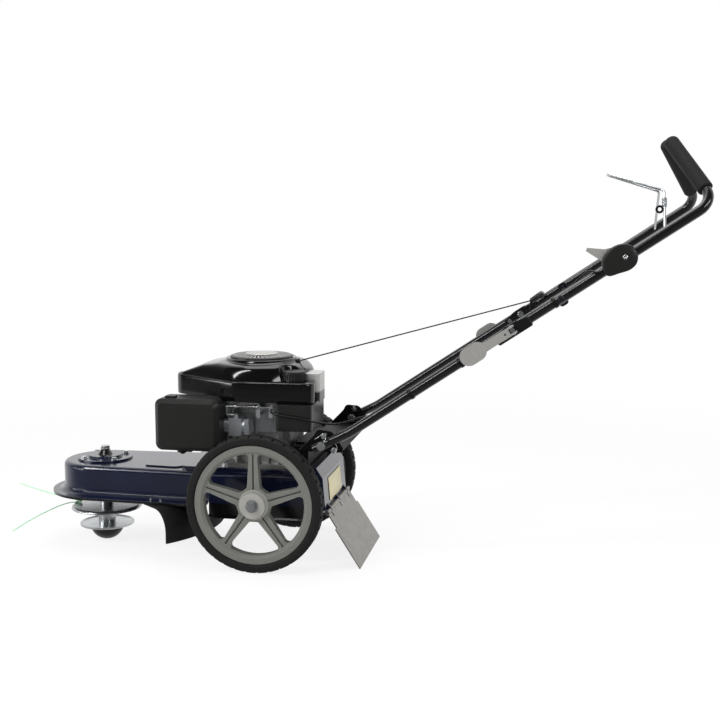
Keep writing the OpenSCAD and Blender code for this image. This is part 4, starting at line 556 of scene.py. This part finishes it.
COLLAR_R = np.array([0.1000, 0.0972, 0.0955, 0.0945, 0.0930, 0.0905, 0.0870, 0.0830, 0.0815])
COLLAR_LIFT = np.array([0.04, 0.25, 0.55, 0.82, 0.96, 1.0, 1.0, 0.8, 0.3])
GRILLE_TOP = 0.5285


def hull_ring(circles, count=2400):
    """Outline of the stretched band round some circles (x, y, r): the farthest circle in each direction gives
    a point, and the straight runs between them are filled in by length."""
    a = np.linspace(0, 2 * np.pi, count)
    way = np.stack([np.cos(a), np.sin(a)], axis=-1)
    far = (way @ circles[:, :2].T + circles[:, 2]).argmax(axis=1)
    ring = circles[far, :2] + circles[far, 2:] * way
    run = run_so_far(ring)
    even = np.linspace(0, run[-1], count)
    return np.stack([np.interp(even, run, ring[:, 0]), np.interp(even, run, ring[:, 1])], axis=-1)


def reach_at(circles, bearing):
    """Distance from the crank to such an outline along each bearing."""
    arm = hull_ring(circles) - CRANK
    turn = np.arctan2(arm[:, 1], arm[:, 0])
    order = turn.argsort()
    return np.interp(bearing, turn[order], np.hypot(arm[:, 0], arm[:, 1])[order], period=2 * np.pi)


def grid_piece(name, verts):
    """A surface on a grid of rows that run round and close on themselves; rows go upwards on the outside."""
    piece = put(name, verts.reshape(-1, 3), ring_faces(*verts.shape[:2]))
    welded = bmesh.new()
    welded.from_mesh(piece.data)
    bmesh.ops.remove_doubles(welded, verts=welded.verts, dist=1e-6)
    welded.to_mesh(piece.data)
    welded.free()
    return piece


def cowl_rows():
    """Rows of the cowl from its lower edge to the collar. The skirt follows its outline. On the dome the
    height is the soft minimum of a side that climbs from the outline as 1 - exp(-d / ease) and a ridge that
    depends on x and falls with y squared. Round the filler the height is cut down to the ledge."""
    arm = hull_ring(SKIRT, COWL_COLUMNS + 1)[:-1] - CRANK
    bearing = np.arctan2(arm[:, 1], arm[:, 0])
    skirt = reach_at(SKIRT, bearing)
    dome = reach_at(DOME, bearing)
    way = np.stack([np.cos(bearing), np.sin(bearing)], axis=-1)
    low = skirt[None] - SKIRT_IN[:, None]
    low_z = np.broadcast_to(SKIRT_Z[:, None], low.shape)
    ledge = np.stack([dome + np.minimum(LEDGE_OUT, skirt - dome - LEDGE_LIP), dome + LEDGE_ROOT,
                      dome + LEDGE_FOOT])
    ledge_z = np.broadcast_to(LEDGE_Z[:, None], ledge.shape)
    w = np.linspace(0, 1, DOME_ROWS)[:, None] ** DOME_EASE
    rho = dome * (1 - w) + COLLAR * w
    place = CRANK + rho[..., None] * way
    side = SEAM + SIDE_RISE * (1 - np.exp(-(dome - rho) / SIDE_EASE))
    top = np.interp(place[..., 0], RIDGE_X, RIDGE_Z) - RIDGE_CROWN * place[..., 1] ** 2
    rise = -CREASE * np.log(np.exp(-side / CREASE) + np.exp(-top / CREASE))
    away = np.linalg.norm(place - CAP_AT, axis=-1)
    rise = np.minimum(rise, SEAM + np.maximum(away - CAP_CLEAR, 0) * CAP_SLOPE)
    collar = np.broadcast_to(COLLAR_R[:, None], (len(COLLAR_R), len(bearing)))
    collar_z = rise[-1:] * (1 - COLLAR_LIFT[:, None]) + GRILLE_TOP * COLLAR_LIFT[:, None]
    rho = np.vstack([low, ledge, rho, collar])
    z = np.vstack([low_z, ledge_z, rise, collar_z])
    return np.concatenate([CRANK + rho[..., None] * way, z[..., None]], axis=-1)


def thicken(piece, wall):
    """Gives a shell its wall, inwards."""
    shell = piece.modifiers.new("wall", "SOLIDIFY")
    shell.thickness = wall
    shell.offset = -1.0


cowl_gloss = enamel("gloss_black_cowl", "#050506", "#09090a", roughness=0.08, peel_mm=12.0, edge_mm=0.8,
                    rubbed="#101012", coat=0.2, shine=0.4)
cowl = grid_piece("cowl_moulding", cowl_rows())
cowl.data.materials.append(cowl_gloss)
thicken(cowl, COWL_WALL)
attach(cowl, "chassis")
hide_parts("cowl")


# The starter: a moulded black nylon grille, with slots that lean outwards between vanes whose tops carry a
# painted highlight, and a cap of spun aluminium pressed on to its middle.
GRILLE_SLOTS = 40
SLOT_START = 0.049
SLOT_LEAN = 3.15
SLOT_EDGE = 0.25
# Painted highlight: the colour of the vane tops between the slots, as the light they catch.
VANE_HIGHLIGHT = "#8f8f8d"
VANE_END = (0.079, 0.077)
STARTER_CAP = [[0.0, 0.5365], [0.0430, 0.5365], [0.0436, 0.5372], [0.0436, 0.5382], [0.0428, 0.5388],
               [0.0300, 0.5393], [0.0150, 0.5395], [0.0, 0.5395]]
# A direction that no leaning axis follows, and the vertical part from which an axis counts as upright.
TURN_ASIDE = [0.31, 0.47, 0.83]
UPRIGHT = 0.9


def vaned(mat):
    """Gives a finish the grille's vanes: a painted highlight between the slots, and the finish's own dark at
    each of them. The slots lean, so their bearing grows with the distance from the crank, and
    cos(slots * (bearing - lean * (r - start))) is 1 on each."""
    tree = mat.node_tree
    paint = next(n for n in tree.nodes if n.type == "BSDF_PRINCIPLED")
    was = paint.inputs["Base Color"].links[0].from_socket
    at = next(n for n in tree.nodes if n.type == "TEX_COORD").outputs["Object"]
    at = add(tree, "ShaderNodeMapping", {"Location": (-CRANK[0], -CRANK[1], 0.0), "Scale": (1.0, 1.0, 0.0)},
             {"Vector": at}).outputs[0]
    flat = add(tree, "ShaderNodeSeparateXYZ", links={0: at})
    bearing = add(tree, "ShaderNodeMath", links={0: flat.outputs["Y"], 1: flat.outputs["X"]},
                  operation="ARCTAN2")
    reach = add(tree, "ShaderNodeVectorMath", links={0: at}, operation="LENGTH").outputs["Value"]
    lean = add(tree, "ShaderNodeMapRange",
               {"From Min": SLOT_START, "From Max": SLOT_START + 1.0, "To Max": -SLOT_LEAN},
               {"Value": reach}, clamp=False)
    turn = add(tree, "ShaderNodeMath", links={0: bearing.outputs[0], 1: lean.outputs[0]}, operation="ADD")
    turn = add(tree, "ShaderNodeMath", {1: float(GRILLE_SLOTS)}, {0: turn.outputs[0]}, operation="MULTIPLY")
    wave = add(tree, "ShaderNodeMath", links={0: turn.outputs[0]}, operation="COSINE")
    vane = add(tree, "ShaderNodeMapRange", {"From Min": SLOT_EDGE, "From Max": -SLOT_EDGE},
               {"Value": wave.outputs[0]})
    zone = add(tree, "ShaderNodeMapRange", {"From Min": VANE_END[0], "From Max": VANE_END[1]},
               {"Value": reach})
    part = add(tree, "ShaderNodeMath", links={0: vane.outputs[0], 1: zone.outputs[0]}, operation="MULTIPLY")
    tone = add(tree, "ShaderNodeMix", {TINT_B: linear(VANE_HIGHLIGHT)}, {0: part.outputs[0], TINT_A: was},
               data_type="RGBA")
    tree.links.new(tone.outputs[TINT], paint.inputs["Base Color"])
    return mat


def turned(name, profile, origin, axis=(0.0, 0.0, 1.0), sides=64):
    """A profile of radius and height carried once round an axis that starts at the origin given."""
    axis = np.asarray(axis, float) / np.linalg.norm(axis)
    u = np.cross(axis, TURN_ASIDE if abs(axis[2]) < UPRIGHT else [0.0, 1.0, 0.0])
    u /= np.linalg.norm(u)
    v = np.cross(axis, u)
    a = np.linspace(0, 2 * np.pi, sides, endpoint=False)
    p = np.asarray(profile, float)
    ring = p[:, :1, None] * (np.cos(a)[None, :, None] * u + np.sin(a)[None, :, None] * v)
    return grid_piece(name, np.asarray(origin, float) + ring + p[:, 1:, None] * axis)


grille_nylon = moulded("grille_nylon", "#161616", roughness=0.3, scuff_or_highlight="#6b6b69", shine=0.5)
cover(vaned(grille_nylon), "starter_grille")
spun = plated("spun_aluminium", "#cfcdca", roughness=0.42, grain_mm=1.5, stained="#b3b1ae")
starter_cap = turned("starter_cap", STARTER_CAP, (CRANK[0], CRANK[1], 0.0), sides=96)
starter_cap.data.materials.append(spun)
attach(starter_cap, "chassis")


# Small engine fittings: the governor's spring with its lock nuts on the link rod, of bright plated steel, and
# the moulded screw knob that holds the air filter box from below.
LINK_Y, LINK_Z = -0.132, 0.413
GOVERNOR_FROM = np.array([-0.064, LINK_Y, LINK_Z])
GOVERNOR_TO = np.array([-0.024, LINK_Y, LINK_Z])
GOVERNOR_COIL = 0.0042
GOVERNOR_TURNS = 11
GOVERNOR_WIRE = 0.0009
NUTS_AT = (-0.0225, LINK_Y, LINK_Z)
NUTS = [[0.0019, 0.0], [0.0058, 0.0], [0.0062, 0.0006], [0.0062, 0.0044], [0.0058, 0.0050], [0.0042, 0.0052],
        [0.0042, 0.0068], [0.0062, 0.0070], [0.0062, 0.0108], [0.0058, 0.0114], [0.0019, 0.0114], [0.0019, 0.0]]
KNOB_AT = (-0.212, -0.150, 0.2990)
KNOB = [[0.0, -0.0128], [0.0050, -0.0126], [0.0064, -0.0112], [0.0070, -0.0090], [0.0128, -0.0076],
        [0.0142, -0.0062], [0.0142, -0.0010], [0.0136, -0.0002], [0.0, -0.0002]]
bright_fitting = plated("bright_fitting", "#f0f2f3", roughness=0.22)
governor_spring = swept("governor_spring", coil(GOVERNOR_FROM, GOVERNOR_TO, GOVERNOR_COIL, GOVERNOR_TURNS),
                        GOVERNOR_WIRE, 8)
lock_nut = turned("governor_nuts", NUTS, NUTS_AT, (1.0, 0.0, 0.0), 6)
knob = turned("filter_knob", KNOB, KNOB_AT, sides=40)
for piece, finish, slot in ((governor_spring, bright_fitting, "zinc_steel"),
                            (lock_nut, bright_fitting, "zinc_steel"), (knob, black_nylon, "black_plastic")):
    piece.data.materials.append(finish)
    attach(piece, "chassis")


# The handle: steel tube, bent, punched and powder-coated gloss black, with its fold hinge and brace. Its
# bracket and the engine's rear pedestal are steel sheet, sprayed satin black.
tube_enamel = enamel("gloss_black_powder", "#0a0a0b", "#111113", roughness=0.2, peel_mm=4.0)
cover(tube_enamel, "lower_tubes", "upper_tubes", "hinge_channels", "cross_brace")
satin_black = enamel("satin_black_bracket", "#070707", "#0c0c0c", roughness=0.5, rubbed="#1c1c1d", coat=0.0,
                     shine=0.15)
cover(satin_black, "handle_bracket", "rear_frame")


# The hairpin clips: bright spring wire, bent cold, pushed through the ends of the two hitch pins that hold
# the handle's bracket.
CLIP_MM = 2.0
CLIP_Y = -0.2206
CLIP_STEPS = 6
CLIPS = (("hairpin_upper", (0.181, 0.3596),
          [[-23, -8], [-12, -1], [-6.4, 4], [0, 6.8], [5.6, 3.6], [6.4, -3], [3.5, -10], [1.5, -15]]),
         ("hairpin_lower", (0.208, 0.3256),
          [[5.5, 15], [7.5, 8], [6.6, 1], [4.4, -4.6], [-0.5, -6.6], [-5.2, -4.2], [-6.4, 1], [-3.5, 5.6]]))
for name, pin, bends in CLIPS:
    flat = smooth_route(np.array(bends) / 1000, CLIP_STEPS)
    wire = np.stack([pin[0] + flat[:, 0], np.full(len(flat), CLIP_Y), pin[1] + flat[:, 1]], axis=-1)
    clip = swept(name, wire, CLIP_MM / 2000, 8)
    clip.data.materials.append(bright_fitting)
    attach(clip, "chassis")


# The throttle pod: two moulded nylon shells screwed together on the left tube, with a slot between them in
# which the lever turns on its pin. The handle's own directions are along the tube, across the machine and
# up from the tube.
FOLD = np.array([0.644872, 0.0, 0.637022])
TUBE_AHEAD = np.array([0.830984, 0.0, 0.556296])
TUBE_UP = np.array([-0.556296, 0.0, 0.830984])
LEFTWARDS = np.array([0.0, -1.0, 0.0])
POD_AT = FOLD + 0.297 * TUBE_AHEAD
POD_RING = np.array([[-45, -2], [-39, -15], [-16, -22], [8, -28], [28, -24], [41, -9], [43, 12], [30, 30],
                     [6, 38], [-19, 34], [-37, 21]]) / 1000
POD_INNER = np.array([[0.0, 215.9], [0.55, 215.9], [0.93, 216.0], [0.985, 216.8], [1.0, 218.6], [1.0, 225.2],
                      [0.988, 225.7], [0.0, 225.7]])
POD_OUTER = np.array([[0.0, 229.9], [0.988, 229.9], [1.0, 230.4], [1.0, 236.0], [0.985, 239.2], [0.95, 241.2],
                      [0.86, 242.5], [0.6, 243.3], [0.3, 243.6], [0.0, 243.7]])
PIN_AT = FOLD + 0.310 * TUBE_AHEAD
PIN = [[0.0, 0.2250], [0.0049, 0.2250], [0.0049, 0.2306], [0.0, 0.2306]]
SCREW_AT = FOLD + 0.3118 * TUBE_AHEAD + 0.0032 * TUBE_UP
SCREW = [[0.0, 0.2415], [0.0062, 0.2415], [0.0062, 0.2434], [0.0056, 0.2446], [0.0036, 0.2452],
         [0.0022, 0.2452], [0.0019, 0.2436], [0.0, 0.2436]]


def slab(name, ring, rows, origin, u, v, w, smooth=8):
    """A closed pad: a ring in the directions u and v, drawn as a closed smooth curve where smooth is above 1,
    is scaled about its middle and carried along w, once for each row of scale and height in millimetres."""
    closed = ring
    if smooth > 1:
        wrapped = np.vstack([ring[-2:], ring, ring[:3]])
        closed = smooth_route(wrapped, smooth)[2 * smooth:(len(ring) + 2) * smooth]
    mid = closed.mean(axis=0)
    flat = mid + rows[:, :1, None] * (closed - mid)[None]
    return grid_piece(name, origin + flat[..., :1] * u + flat[..., 1:] * v + rows[:, 1:, None] / 1000 * w)


for name, rows in (("throttle_pod_inner", POD_INNER), ("throttle_pod_outer", POD_OUTER)):
    half = slab(name, POD_RING, rows, POD_AT, TUBE_AHEAD, TUBE_UP, LEFTWARDS)
    half.data.materials.append(charcoal)
    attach(half, "upper_handle")
    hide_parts("throttle_pod")
lever_pin = turned("lever_pin", PIN, PIN_AT, LEFTWARDS, 32)
lever_pin.data.materials.append(zinc)
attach(lever_pin, "upper_handle")
screw = turned("pod_screw", SCREW, SCREW_AT, LEFTWARDS, 32)
screw.data.materials.append(zinc)
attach(screw, "upper_handle")


# The bail: one length of bright steel wire, bent to a tapering loop whose feet turn in the tubes. A small
# coil spring on its left leg takes up the slack of the cable, which ends in a black moulded eye.
WIRE_MM = 6.4
BAIL_BEND = 0.009
BAIL_HALF = np.array([[993.05, 192.1, 870.11], [993.05, 180.5, 870.11], [995.05, 90.0, 967.11],
                      [863.08, 40.0, 1007.46]]) / 1000
MIRROR = [1, -1, 1]
LEG_FOOT, LEG_KNEE = BAIL_HALF[1] * MIRROR, BAIL_HALF[2] * MIRROR
LEG = LEG_KNEE - LEG_FOOT
SPRING_FROM, SPRING_TO = LEG_FOOT + 0.60 * LEG, LEG_FOOT + 0.80 * LEG
SPRING_COIL = 0.0052
SPRING_TURNS = 7
SPRING_WIRE = 0.0011
LOOP_AT = LEG_FOOT + 0.54 * LEG + np.array([-0.0115, 0.0, 0.0])
LOOP_R = 0.0072
LOOP_THICK = 0.0028


def bent(points, radius, steps=8):
    """A route whose corners are eased: each is a quadratic curve between points one radius before and after."""
    before, here, after = points[:-2], points[1:-1], points[2:]
    back = (before - here) / np.linalg.norm(before - here, axis=1)[:, None]
    on = (after - here) / np.linalg.norm(after - here, axis=1)[:, None]
    t = np.linspace(0, 1, steps)[None, :, None]
    arc = ((1 - t) ** 2 * (here + radius * back)[:, None] + 2 * t * (1 - t) * here[:, None]
           + t**2 * (here + radius * on)[:, None])
    return np.vstack([points[:1], arc.reshape(-1, 3), points[-1:]])


bright = plated("bright_steel_wire", "#dcdfe1", roughness=0.2)
bail_points = np.vstack([BAIL_HALF, BAIL_HALF[::-1] * MIRROR])
bail = swept("bail_wire", bent(bail_points, BAIL_BEND), WIRE_MM / 2000, 16)
bail.data.materials.append(bright)
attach(bail, "bail")
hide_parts("bail")
spring = swept("bail_spring", coil(SPRING_FROM, SPRING_TO, SPRING_COIL, SPRING_TURNS), SPRING_WIRE, 8)
spring.data.materials.append(bright)
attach(spring, "bail")
turn = np.linspace(0, 2 * np.pi, 25)
loop = np.stack([LOOP_R + LOOP_THICK * np.cos(turn), LOOP_THICK * np.sin(turn)], axis=-1)
eye = turned("bail_eye", loop, LOOP_AT, (0.0, 1.0, 0.0), 32)
eye.data.materials.append(black_nylon)
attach(eye, "bail")


# The rear flap: grey galvanised steel sheet that hangs from the hinge rod and trails on the ground. A blank
# plate of pale vinyl is stuck to the cover above it.
PLATE_LOW = np.array([0.1666, 0.0, 0.158])
PLATE_HIGH = np.array([0.1610, 0.0, 0.221])
PLATE_HALF_W, PLATE_HALF_H, PLATE_CORNER = 0.071, 0.026, 0.005
PLATE_OFF = 0.0006
PLATE_ROWS = np.array([[0.0, 0.1], [1.0, 0.1], [1.0, 0.5], [0.99, 0.7], [0.0, 0.7]])
galvanised = plated("galvanised_sheet", "#a5a29e", roughness=0.44, grain_mm=9.0, stained="#8d8a87")
cover(galvanised, "rear_flap")
plate_up = (PLATE_HIGH - PLATE_LOW) / np.linalg.norm(PLATE_HIGH - PLATE_LOW)
plate_out = np.cross([0.0, 1.0, 0.0], plate_up)
plate_at = (PLATE_LOW + PLATE_HIGH) / 2 + PLATE_OFF * plate_out
quarter = np.linspace(0, np.pi / 2, 5)
plate_ring = np.vstack([np.stack([sx * PLATE_HALF_W + PLATE_CORNER * np.cos(quarter + start),
                                  sy * PLATE_HALF_H + PLATE_CORNER * np.sin(quarter + start)], axis=-1)
                        for sx, sy, start in ((1, 1, 0), (-1, 1, np.pi / 2), (-1, -1, np.pi),
                                              (1, -1, 1.5 * np.pi))])
blank = slab("blank_plate", plate_ring, PLATE_ROWS, plate_at, np.array([0.0, 1.0, 0.0]), plate_up, plate_out, 1)
pale_vinyl = moulded("pale_vinyl", "#ded5ad", roughness=0.35, depth_mm=0.01, scuff_or_highlight="#e2ddc6")
blank.data.materials.append(pale_vinyl)
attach(blank, "chassis")


# The throttle cable: a steel wire in a black sheath, clipped along the left tube from the carburettor
# to the throttle pod. It passes the handle's fold as one fixed piece.
SHEATH_MM = 5.2
CABLE_STEPS = 5
CABLE_LOW = np.array([[25, -134, 408], [27, -148, 407], [32, -160, 405], [41, -169, 403], [58, -172, 400],
                      [82, -172, 397], [110, -172, 393], [140, -172, 388], [170, -172, 384], [200, -174, 384],
                      [230, -180, 391], [262, -186, 403]]) / 1000
CABLE_HIGH = np.array([[-380, -187, 0], [-250, -187, 0], [-120, -187, 0], [-60, -181, 0], [-30, -177, 0],
                       [-6, -176.5, 0], [6, -176.5, 0], [35, -177.5, 1], [95, -182, 9], [135, -182, 10],
                       [175, -183, 12], [205, -190, 17], [225, -205, 19], [238, -219, 8],
                       [248.7, -221, 3]]) / 1000
STRAPS = ((-0.297, "chassis"), (-0.150, "chassis"), (0.118, "upper_handle"))
STRAP = np.array([[12.6, -4.5], [14.0, -4.5], [14.3, -4.2], [14.3, 4.2], [14.0, 4.5], [12.6, 4.5],
                  [12.6, -4.5]]) / 1000
LEFT_TUBE = np.array([0.0, -0.203, 0.0])
on_tube = (FOLD + CABLE_HIGH[:, :1] * TUBE_AHEAD + CABLE_HIGH[:, 1:2] * [0, 1, 0]
           + CABLE_HIGH[:, 2:] * TUBE_UP)
route = smooth_route(np.vstack([CABLE_LOW, on_tube]), CABLE_STEPS)
sheath = swept("throttle_cable", route, SHEATH_MM / 2000, 12)
sheath.data.materials.append(black_nylon)
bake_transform(sheath)
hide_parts("throttle_cable_lower", "throttle_cable_upper")
for spot, body in STRAPS:
    clip_at = FOLD + spot * TUBE_AHEAD + LEFT_TUBE
    strap = turned("cable_strap_%d" % round(1000 * abs(spot)), STRAP, clip_at, TUBE_AHEAD, 48)
    strap.data.materials.append(black_nylon)
    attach(strap, body)


# The starter rope: braided cord held taut from the cowl to the eye on the right-hand hinge, where its
# grip waits. It draws out of the cowl, through a moulded bush, as the grip is pulled.
ROPE_MM = 3.5
ROPE_STEPS = 60
BUSH = [[0.0098, -0.030], [0.0092, -0.020], [0.0078, -0.008], [0.0070, -0.0015], [0.0058, -0.0004],
        [0.0030, -0.0004], [0.0024, -0.004], [0.0024, -0.012], [0.0024, -0.030], [0.0098, -0.030]]
rope_from = np.array([0.071, 0.0, 0.520])
rope_eye = FOLD + 0.048 * TUBE_AHEAD + np.array([0, 0.168, 0]) + 0.016 * TUBE_UP
rope_to = rope_eye + 0.0022 * TUBE_AHEAD
route = np.vstack([np.linspace(rope_from, rope_eye, ROPE_STEPS), rope_to])
rope = swept("starter_rope_braid", route, ROPE_MM / 2000, 12)
rope_braid = rubber("braided_cord", "#2a2a2a", roughness=0.8, grain_mm=1.6)
rope.data.materials.append(rope_braid)
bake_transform(rope)
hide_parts("starter_rope")
bush_way = (rope_eye - rope_from) / np.linalg.norm(rope_eye - rope_from)
bush = turned("rope_bush", BUSH, rope_from, bush_way, 32)
bush.data.materials.append(black_nylon)
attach(bush, "chassis")

bpy.context.view_layer.update()
